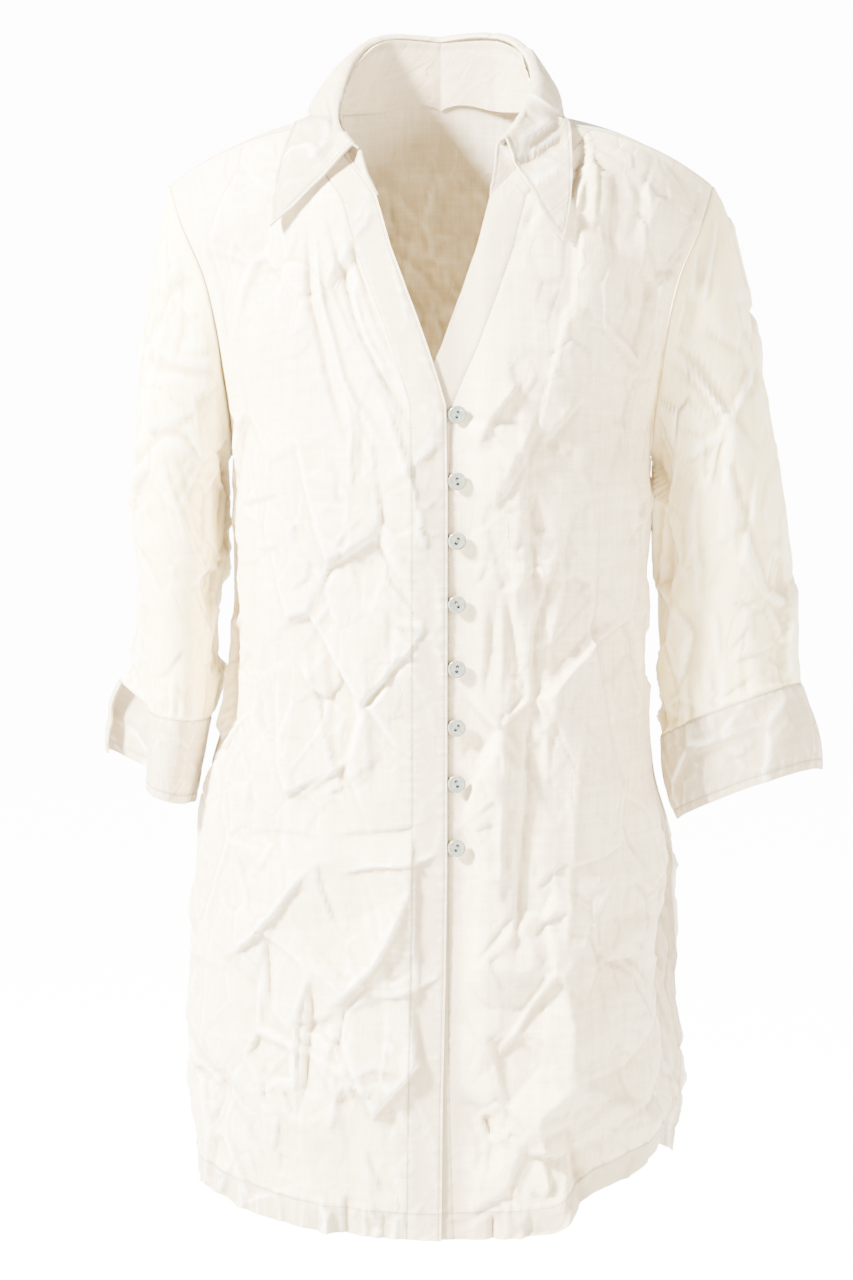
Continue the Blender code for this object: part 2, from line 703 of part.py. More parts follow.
def face_height(tree, x, z):
    """Where a line from the front first meets the surface of the tree."""
    place, _, _, _ = tree.ray_cast(Vector((x, -400, z)), Vector((0, 1, 0)))
    return place.y


def add_buttons(top_front, paint):
    mesh = button_mesh()
    cutter = hole_cutter()
    mesh.materials.append(paint)
    mesh.shade_smooth()
    mesh.set_sharp_from_angle(angle=math.radians(40))
    for number, height in enumerate(BUTTON_HEIGHTS, start=1):
        face = face_height(top_front, BUTTON_LINE, height)
        back = face + LOOP_DEPTH - LOOP_RADIUS - SEAM_GAP
        button = bpy.data.objects.new(f"button_{number}", mesh)
        button.location = (BUTTON_X * MM, back * MM, height * MM)
        bpy.context.scene.collection.objects.link(button)
        holes = button.modifiers.new("holes", "BOOLEAN")
        holes.operation = "DIFFERENCE"
        pegs = cutter.copy()
        pegs.location = button.location
        pegs.name = f"pegs_{number}"
        bpy.context.scene.collection.objects.link(pegs)
        holes.object = pegs
    bpy.data.objects.remove(cutter)


def edge_x(height):
    """The right front's edge at a height below the neck opening."""
    heights = [row[FRONT_COLUMNS.index("z_middle")] for row in FRONT_SECTIONS]
    heights.append(FRONT_YOKE[0][FRONT_YOKE_COLUMNS.index("z_middle")])
    edges = [row[FRONT_COLUMNS.index("edge_right")] for row in FRONT_SECTIONS]
    edges.append(FRONT_YOKE[0][FRONT_YOKE_COLUMNS.index("edge_right")])
    return float(np.interp(height, heights, edges))


def add_loops(top_front, paint):
    """A loop leaves the edge of the right front, passes under its button and comes back."""
    for number, height in enumerate(BUTTON_HEIGHTS, start=1):
        y = face_height(top_front, BUTTON_LINE, height) + LOOP_DEPTH
        start = edge_x(height) + SEAM_GAP
        bend = start + LOOP_REACH - LOOP_HALF_WIDTH
        path = [(start, LOOP_HALF_WIDTH * LOOP_ROOT), (start + LOOP_STRAIGHT, LOOP_HALF_WIDTH)]
        for turn in np.radians(np.linspace(90, -90, 5)):
            path.append((bend + LOOP_HALF_WIDTH * math.cos(turn), LOOP_HALF_WIDTH * math.sin(turn)))
        path += [(start + LOOP_STRAIGHT, -LOOP_HALF_WIDTH), (start, -LOOP_HALF_WIDTH * LOOP_ROOT)]
        curve = bpy.data.curves.new(f"loop_{number}", "CURVE")
        curve.dimensions = "3D"
        curve.bevel_depth = LOOP_RADIUS * MM
        curve.bevel_resolution = 0
        curve.use_fill_caps = True
        line = curve.splines.new("POLY")
        line.points.add(len(path) - 1)
        for point, (x, rise) in zip(line.points, path):
            point.co = (x * MM, y * MM, (height + rise) * MM, 1)
        curve.materials.append(paint)
        loop = bpy.data.objects.new(f"loop_{number}", curve)
        bpy.context.scene.collection.objects.link(loop)


def main():
    for old in list(bpy.data.objects):
        bpy.data.objects.remove(old)
    linen = add_paint("linen", LINEN, 0.85, 0.2)
    linen_shaded = add_paint("doubled_linen", LINEN_SHADED, 0.85, 0.2)
    shell = add_paint("shell", SHELL, 0.22, 0)
    thread = add_paint("thread", THREAD, 0.7, 0.1)

    right, left, back = front_points(RIGHT), front_points(LEFT), back_points()
    torso = tree_of([(right, True), (left, False), (back[0], False), (back[1], True)])
    add_fronts(right, left, linen)
    add_back(back, linen)
    add_sleeves(torso, linen)
    add_cuffs(linen_shaded)
    add_collar({RIGHT: right, LEFT: left}, dict(zip((RIGHT, LEFT), back)), torso, linen_shaded)
    top_front = tree_of([(right, True)])
    add_buttons(top_front, shell)
    add_loops(top_front, thread)


main()
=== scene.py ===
import math
import random

import bmesh
import bpy
import numpy as np
from mathutils import Matrix, Vector, geometry, noise
from mathutils.bvhtree import BVHTree


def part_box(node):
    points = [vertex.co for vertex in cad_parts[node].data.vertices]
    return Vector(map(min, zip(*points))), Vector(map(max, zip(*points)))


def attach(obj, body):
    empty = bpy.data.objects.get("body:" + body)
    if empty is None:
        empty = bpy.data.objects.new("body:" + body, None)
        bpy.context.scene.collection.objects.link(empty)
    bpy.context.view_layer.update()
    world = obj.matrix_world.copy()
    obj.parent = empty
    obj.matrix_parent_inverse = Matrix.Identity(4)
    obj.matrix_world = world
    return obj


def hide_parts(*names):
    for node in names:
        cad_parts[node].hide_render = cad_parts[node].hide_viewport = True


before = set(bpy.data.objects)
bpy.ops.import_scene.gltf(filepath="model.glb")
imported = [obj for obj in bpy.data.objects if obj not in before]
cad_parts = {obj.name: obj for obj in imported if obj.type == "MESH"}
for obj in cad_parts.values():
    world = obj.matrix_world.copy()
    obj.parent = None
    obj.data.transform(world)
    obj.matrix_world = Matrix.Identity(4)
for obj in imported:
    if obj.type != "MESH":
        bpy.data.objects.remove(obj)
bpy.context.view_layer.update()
print("frame loaded:", len(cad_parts), "nodes")

# Sizes are in millimetres, and each finished mesh is scaled to metres.
mm = 0.001
left, right = 1, -1  # the wearer's left lies at +X

cloth = {
    "wall": 0.8,
    "doubledWall": 1.5,
    "step": 2.6,  # between the points of a panel
    "samePoint": 0.02,
    "sharpAngle": 75,
}

# The torso: one row is one section, from its middle (x = 0) to its side. turn says how far round it
# goes in degrees, and round is 2 for an ellipse and more for a boxier section.
torso = {
    "frontColumns": "zMiddle zSide sideLeft sideRight yMiddle ySide turn round edgeLeft edgeRight".split(),
    "front": (
        (-799, -766, 162, 184, -125, -36, 86, 2.4, -16, 0),
        (-700, -694, 161, 185, -121, -34, 86, 2.4, -19, 1),
        (-605, -602, 161, 184, -117, -28, 86, 2.4, -20, 3),
        (-530, -528, 164, 181, -114, -9, 88, 2.4, -20, 4),
        (-460, -460, 155, 166, -113, -0.3, 90, 2.4, -20, 4),
        (-400, -400, 151, 154, -114, -0.3, 90, 2.4, -20, 4),
        (-320, -320, 152, 153, -118, -0.3, 90, 2.4, -20, 4),
        (-245, -240, 152, 152, -124, -0.3, 90, 2.5, -20, 4),
    ),
    # above the armpit a section ends on the armhole, at the row's angle
    "frontYokeColumns": "armholeAngle zMiddle yMiddle turn round slope edgeLeft edgeRight".split(),
    "frontYoke": (
        (150, -188, -122, 78, 2.4, 1.9, -18, 3),
        (120, -146, -117, 70, 2.4, 1.9, 0, -10),
        (90, -108, -111, 64, 2.4, 2.0, 14, -24),
        (60, -76, -104, 60, 2.3, 2.2, 25, -36),
        (30, -42, -97, 58, 2.2, 2.5, 34, -46),
        (15, -15, -76, 56, 2.1, 2.8, 63, -66),
        (0, 8, -42, 60, 2.0, 3.0, 84, -84),
    ),
    "backColumns": "zMiddle zSide sideLeft sideRight yMiddle ySide turn round".split(),
    "back": (
        (-784, -776, 179, 187, 106, 2, 88, 2.4),
        (-700, -698, 180, 188, 107, 2, 88, 2.4),
        (-605, -604, 178, 187, 107, 2, 88, 2.4),
        (-530, -530, 172, 182, 103, 0.6, 89, 2.4),
        (-460, -460, 155, 166, 93, 0.3, 90, 2.4),
        (-400, -400, 151, 154, 86, 0.3, 90, 2.4),
        (-320, -320, 152, 153, 89, 0.3, 90, 2.4),
        (-245, -240, 152, 152, 95, 0.3, 90, 2.5),
    ),
    "backYokeColumns": "armholeAngle zMiddle yMiddle turn round slope neckEdge".split(),
    "backYoke": (
        (210, -196, 97, 76, 2.4, 1.9, 0),
        (240, -152, 98, 68, 2.4, 1.9, 0),
        (270, -106, 95, 62, 2.3, 2.0, 0),
        (300, -56, 86, 58, 2.2, 2.2, 0),
        (325, 8, 66, 55, 2.1, 2.5, 0),
        (337, 9, 56, 54, 2.0, 2.8, 46),
        (348, 11, 27, 54, 2.0, 3.0, 74),
        (360, 8.6, -41.6, 60, 2.0, 3.0, 84),
    ),
    "armholeColumns": "angle x y z".split(),
    "armhole": (
        (0, 197, -5, -42),
        (30, 187, -33, -68),
        (60, 171, -47, -103),
        (90, 162, -51, -139),
        (120, 157, -46, -174),
        (150, 153, -29, -210),
        (180, 152, 0, -240),
        (210, 154, 32, -210),
        (240, 159, 51, -170),
        (270, 167, 58, -128),
        (300, 180, 50, -90),
        (330, 192, 26, -58),
        (360, 197, -5, -42),
    ),
    "slope": 1.9,
    "samples": 481,
}


def smoothColumn(values, at):
    # Catmull-Rom through evenly numbered values
    values = np.asarray(values, float)
    at = np.clip(np.asarray(at, float), 0, len(values) - 1)
    low = np.minimum(at.astype(int), len(values) - 2)
    part = at - low
    before = values[np.maximum(low - 1, 0)]
    start, end = values[low], values[low + 1]
    after = values[np.minimum(low + 2, len(values) - 1)]
    bend = 2 * start + (end - before) * part
    bend += (2 * before - 5 * start + 4 * end - after) * part**2
    bend += (3 * start - before - 3 * end + after) * part**3
    return 0.5 * bend


def smoothStep(low, high, value):
    part = np.clip((np.asarray(value, float) - low) / (high - low), 0, 1)
    return part * part * (3 - 2 * part)


def valuesAt(columns, rows, place, straight=()):
    found = {}
    for index, column in enumerate(columns):
        values = [row[index] for row in rows]
        if column in straight:
            found[column] = float(np.interp(place, range(len(values)), values))
        else:
            found[column] = float(smoothColumn(values, place))
    return found


def armholePoint(side, angle):
    step = torso["armhole"][1][0]
    values = valuesAt(torso["armholeColumns"], torso["armhole"], angle / step)
    return np.array((side * values["x"], values["y"], values["z"]))


def torsoRow(side, middle, outer, values, innerX, spread):
    # one section's points from innerX out, with each one's way round from the middle line
    bend = 2 / values["round"]
    turn = min(values["turn"], 90.0)
    angles = np.radians(np.linspace(-30, turn, torso["samples"]))
    fullSine = math.sin(math.radians(turn)) ** bend
    fullCosine = math.cos(math.radians(turn)) ** bend
    sines = np.sign(angles) * np.abs(np.sin(angles)) ** bend / fullSine
    cosines = (np.abs(np.cos(angles)) ** bend - fullCosine) / (1 - fullCosine)
    x = outer[0] * sines
    y = outer[1] + (middle[0] - outer[1]) * cosines
    length = np.concatenate([[0], np.cumsum(np.hypot(np.diff(x), np.diff(y)))])
    middleAt = np.interp(0, angles, length)
    start = float(np.interp(side * innerX, side * x, length))
    places = spread(start, length[-1])
    share = np.clip((places - middleAt) / (length[-1] - middleAt), 0, 1)
    z = middle[1] + (outer[2] - middle[1]) * share ** values.get("slope", torso["slope"])
    points = np.stack([np.interp(places, length, x), np.interp(places, length, y), z], axis=1)
    return points, places - middleAt


def panelRow(side, place, part, edgeColumn, spread):
    sections, columns = torso[part], torso[part + "Columns"]
    yoke, yokeColumns = torso[part + "Yoke"], torso[part + "YokeColumns"]
    armpit = len(sections) - 1
    lower = valuesAt(columns, sections, min(place, armpit), straight=(edgeColumn, "ySide"))
    atArmpit = dict(zip(columns, sections[-1]), armholeAngle=180.0, slope=torso["slope"])
    first = tuple(atArmpit.get(name, 0.0) for name in yokeColumns)
    above = max(place - armpit, 0)
    upper = valuesAt(yokeColumns, (first,) + yoke, above, straight=(edgeColumn, "armholeAngle"))
    if place <= armpit:
        half = "sideLeft" if side == left else "sideRight"
        values, outer = lower, np.array((side * lower[half], lower["ySide"], lower["zSide"]))
    else:
        values, outer = upper, armholePoint(side, upper["armholeAngle"])
        outer[1] += atArmpit["ySide"] * (1 - smoothStep(0, 1, above))
    middle = (values["yMiddle"], values["zMiddle"])
    innerX = values.get(edgeColumn, 0)
    if edgeColumn == "neckEdge":
        innerX *= side
    points, grain = torsoRow(side, middle, outer, values, innerX, spread)
    return points, np.stack([side * grain, np.full(len(grain), middle[1])], axis=1)


def alongDistances(points, axis):
    # each point's distance along its row (axis 1) or column (axis 0) from the first one
    steps = np.linalg.norm(np.diff(points, axis=axis), axis=2)
    start = np.zeros_like(np.take(steps, [0], axis=axis))
    return np.concatenate([start, np.cumsum(steps, axis=axis)], axis=axis)


def makePanel(side, part, edgeColumn, places, spread):
    # a panel: its points, its place in the weave, and how far each point lies from each border
    rows = [panelRow(side, place, part, edgeColumn, spread) for place in places]
    points = np.array([row[0] for row in rows])
    panel = {"points": points, "weave": np.array([row[1] for row in rows])}
    panel["places"] = np.array(places)
    panel["fromEdge"] = alongDistances(points, 1)
    panel["fromSeam"] = panel["fromEdge"][:, -1:] - panel["fromEdge"]
    panel["fromHem"] = alongDistances(points, 0)
    panel["fromTop"] = panel["fromHem"][-1:] - panel["fromHem"]
    return panel


def closeUp(marks, reach):
    # distances that lie denser round some marks, where there is a stitch or a fold
    offsets = np.array((-1.6, -0.8, 0, 0.8, 1.6))
    found = [0.0, 0.7, 1.5]
    for mark in marks:
        found += [mark + offset for offset in offsets]
    for place in np.arange(3, reach, cloth["step"]):
        if min(abs(place - mark) for mark in marks) > cloth["step"]:
            found.append(place)
    return np.array(sorted(set(np.round([f for f in found if 0 <= f <= reach], 2))))


frontShape = {
    "hemStitch": 20.0,
    "edgeStitch": 2.2,
    "facingStitch": 25.0,
    "nearEdge": 38.0,
    "nearHem": 32.0,
    "across": 94,
    "lowerRows": 246,
    "upperRowsPerStep": 15,
    "underlapDrop": 2.7,
    "underlapEnds": (16, 34),
    "neckOpening": (-150, -70),
    "hemLift": 20,
    "hemLiftReach": 140,
    "hemLiftBetween": (80, 116),
    "paintedShadowBesideEdge": 1.4,  # how dark the painted shadow on the left front is beside the edge that covers it
}
backShape = {
    "hemStitch": 20.0,
    "nearHem": 32.0,
    "across": 66,
    "lowerRows": 150,
    "upperRowsPerStep": 10,
    "cornerLift": 12,
    "cornerAcross": 26,
    "cornerUp": 60,
}
nearSeam = np.array((3.2, 2.2, 1.4, 0.7, 0.0))


def frontSpread(start, end):
    edge = closeUp((frontShape["edgeStitch"], frontShape["facingStitch"]), frontShape["nearEdge"])
    middle = np.linspace(start + edge[-1], end - nearSeam[0], frontShape["across"])[1:-1]
    return np.concatenate([start + edge, middle, end - nearSeam])


def backSpread(start, end):
    return np.concatenate([np.linspace(start, end - nearSeam[0], backShape["across"])[:-1], end - nearSeam])


def rowPlaces(sections, yoke, shape):
    # from the hem up, with more rows near the hem's stitching and the shoulder seam
    firstStep = sections[1][0] - sections[0][0]
    hem = closeUp((shape["hemStitch"],), shape["nearHem"]) / firstStep
    armpit, top = len(sections) - 1, len(sections) - 1 + len(yoke)
    lower = np.linspace(hem[-1], armpit, shape["lowerRows"])[1:]
    upper = np.linspace(armpit, top, shape["upperRowsPerStep"] * len(yoke) + 1)[1:]
    return np.concatenate([hem, lower, upper])


def makeFront(side):
    places = rowPlaces(torso["front"], torso["frontYoke"], frontShape)
    edge = "edgeLeft" if side == left else "edgeRight"
    return makePanel(side, "front", edge, places, frontSpread)


def makeBack(side):
    places = rowPlaces(torso["back"], torso["backYoke"], backShape)
    return makePanel(side, "back", "neckEdge", places, backSpread)


def smoothPath(knots, steps):
    knots = np.array(knots, float)
    if len(knots) == 2:
        return knots
    at = np.linspace(0, len(knots) - 1, steps * (len(knots) - 1) + 1)
    return np.stack([smoothColumn(knots[:, 0], at), smoothColumn(knots[:, 1], at)], axis=1)


def pathDistance(places, path):
    # the signed distance from each place to a path, above 0 on the side away from the key light, and
    # how far along the path it lies, from 0 to 1
    nearest = np.full(places.shape[:-1], np.inf)
    along = np.zeros(places.shape[:-1])
    signed = np.zeros(places.shape[:-1])
    pieces = np.linalg.norm(np.diff(path, axis=0), axis=1)
    before = np.concatenate([[0], np.cumsum(pieces)])
    whole = path[-1] - path[0]
    shaded = np.sign(whole[0] * creaseStyle["shadedSide"][1] - whole[1] * creaseStyle["shadedSide"][0]) or 1
    for start, end, done, piece in zip(path, path[1:], before, pieces):
        run, off = end - start, places - start
        part = np.clip(off @ run / piece**2, 0, 1)
        gap = np.linalg.norm(off - part[..., None] * run, axis=-1)
        closer = gap < nearest
        nearest = np.where(closer, gap, nearest)
        along = np.where(closer, (done + part * piece) / before[-1], along)
        side = np.sign(run[0] * off[..., 1] - run[1] * off[..., 0]) * shaded
        signed = np.where(closer, gap * side, signed)
    return signed, along


creaseStyle = {
    "fade": 0.28,  # share of a crease over which each end fades
    "steps": 4,
    "tip": 0.07,
    "crispWidth": 0.55,
    "gain": 1.2,
    "narrow": (2.4, 0.40),  # a crease's width in the cloth, from its width in the tables
    "shadedSide": (0.8, -0.6),
    "gentle": 2.2,
    "steep": 0.36,
    "leastCrisp": 0.45,
    "reach": 4.8,
    "drift": (2.4, 38),
    "tremble": (0.6, 11),
    "seed": 5,
}
noise.seed_set(creaseStyle["seed"])  # without it noise_vector differs in each run, and so would the creases


def drifted(places, seed):
    # creases wander: their places are read through slow and quick noise
    (drift, driftSize), (tremble, trembleSize) = creaseStyle["drift"], creaseStyle["tremble"]
    moved = places.copy()
    for index in np.ndindex(places.shape[:-1]):
        x, z = places[index]
        slow = noise.noise_vector(Vector((x / driftSize, z / driftSize, seed)))
        quick = noise.noise_vector(Vector((x / trembleSize, z / trembleSize, seed + 9.5)))
        moved[index] += (slow[0] * drift + quick[0] * tremble, slow[1] * drift + quick[1] * tremble)
    return moved


def creaseLift(places, creases):
    # each crease is its path, its width, its height (below 0 for a trough) and how crisp it is
    lift = np.zeros(places.shape[:-1])
    for knots, width, height, crisp in creases:
        path = smoothPath(knots, creaseStyle["steps"])
        least, share = creaseStyle["narrow"]
        height *= ((least + share * width) / width) ** 0.6
        width = least + share * width
        reach = creaseStyle["reach"] * width
        near = np.all((places > path.min(axis=0) - reach) & (places < path.max(axis=0) + reach), axis=-1)
        if not near.any():
            continue
        signed, along = pathDistance(places[near], path)
        fade = smoothStep(0, creaseStyle["fade"], along) * smoothStep(0, creaseStyle["fade"], 1 - along)
        steepSide = signed > 0 if height > 0 else signed < 0
        gap = np.abs(signed) / (width * np.where(steepSide, creaseStyle["steep"], creaseStyle["gentle"]))
        tip = creaseStyle["tip"]
        crisp = creaseStyle["leastCrisp"] + (1 - creaseStyle["leastCrisp"]) * crisp
        sharp = np.exp(-(np.sqrt(gap**2 + tip**2) - tip) / creaseStyle["crispWidth"])
        lift[near] += creaseStyle["gain"] * height * fade * ((1 - crisp) * np.exp(-(gap**2)) + crisp * sharp)
    return lift


crumpleStyle = {
    "layers": ((36, 0.34, 3.2), (17, 0.08, 3.2)),  # size, height and sharpness of each layer of crests
    "swell": (95, 1.3),
    "patch": 70,
    "patchMean": 0.55,
    "patchLeast": 0.12,
    "stretch": 0.62,  # crests run more up and down than across
    # size, tilt and edge height of each layer of flat facets
    "facets": ((54, 0.20, 0.5), (27, 0.13, 0.2), (14, 0.07, 0.05)),
    "facetEdge": 0.10,
}


def crumple(points, seed, amount=1.0):
    # soft hollows, crisp crests and flat tilted facets, stronger in some patches than in others
    lift = np.zeros(points.shape[:-1])
    swellSize, swell = crumpleStyle["swell"]
    mean, least = crumpleStyle["patchMean"], crumpleStyle["patchLeast"]
    shift = Vector((seed * 17.3, seed * 5.1, seed * 11.7))
    edge = crumpleStyle["facetEdge"]
    for index in np.ndindex(lift.shape):
        x, y, z = points[index]
        place = Vector((x, y, z * crumpleStyle["stretch"]))
        patch = max(mean + noise.noise(place / crumpleStyle["patch"] + shift), least)
        total = swell * noise.noise(place / swellSize - shift)
        for size, height, sharpness in crumpleStyle["layers"]:
            crest = 1 - min(abs(noise.noise(place / size + shift)) * sharpness, 1)
            total += height * (crest * crest - 0.2) * patch
        for size, tilt, height in crumpleStyle["facets"]:
            spot = place / size + shift
            gaps, centres = noise.voronoi(spot)
            inside = min((gaps[1] - gaps[0]) / edge, 1.0)
            inside = inside * inside * (3 - 2 * inside)
            lean = noise.cell_vector(centres[0] * 3.1) - Vector((0.5, 0.5, 0.5))
            slope = tilt * size * lean.dot(spot - centres[0]) * 2.0 * inside
            total += patch * (slope + height * (1 - inside) * lean.x * 2.2)
        lift[index] = total * amount
    return lift


puckerStyle = {"reach": 14, "slow": 5.5, "quick": 2.6, "height": 0.75, "width": 5.0, "grooveWidth": 1.1}


def stitchGroove(distance, away, along, seed, depth=0.32):
    # a stitched line sinks a little and puckers the cloth beside it
    near = np.abs(distance - away)
    slow, quick = puckerStyle["slow"], puckerStyle["quick"]
    puckers = np.zeros(near.shape)
    for index in zip(*np.nonzero(near < puckerStyle["reach"])):
        place = along[index]
        slowly, quickly = Vector((place / slow, seed, 0)), Vector((place / quick, seed, 5))
        puckers[index] = noise.noise(slowly) + 0.5 * noise.noise(quickly)
    groove = depth * np.exp(-((near / puckerStyle["grooveWidth"]) ** 2))
    return puckers * puckerStyle["height"] * np.exp(-((near / puckerStyle["width"]) ** 2)) - groove


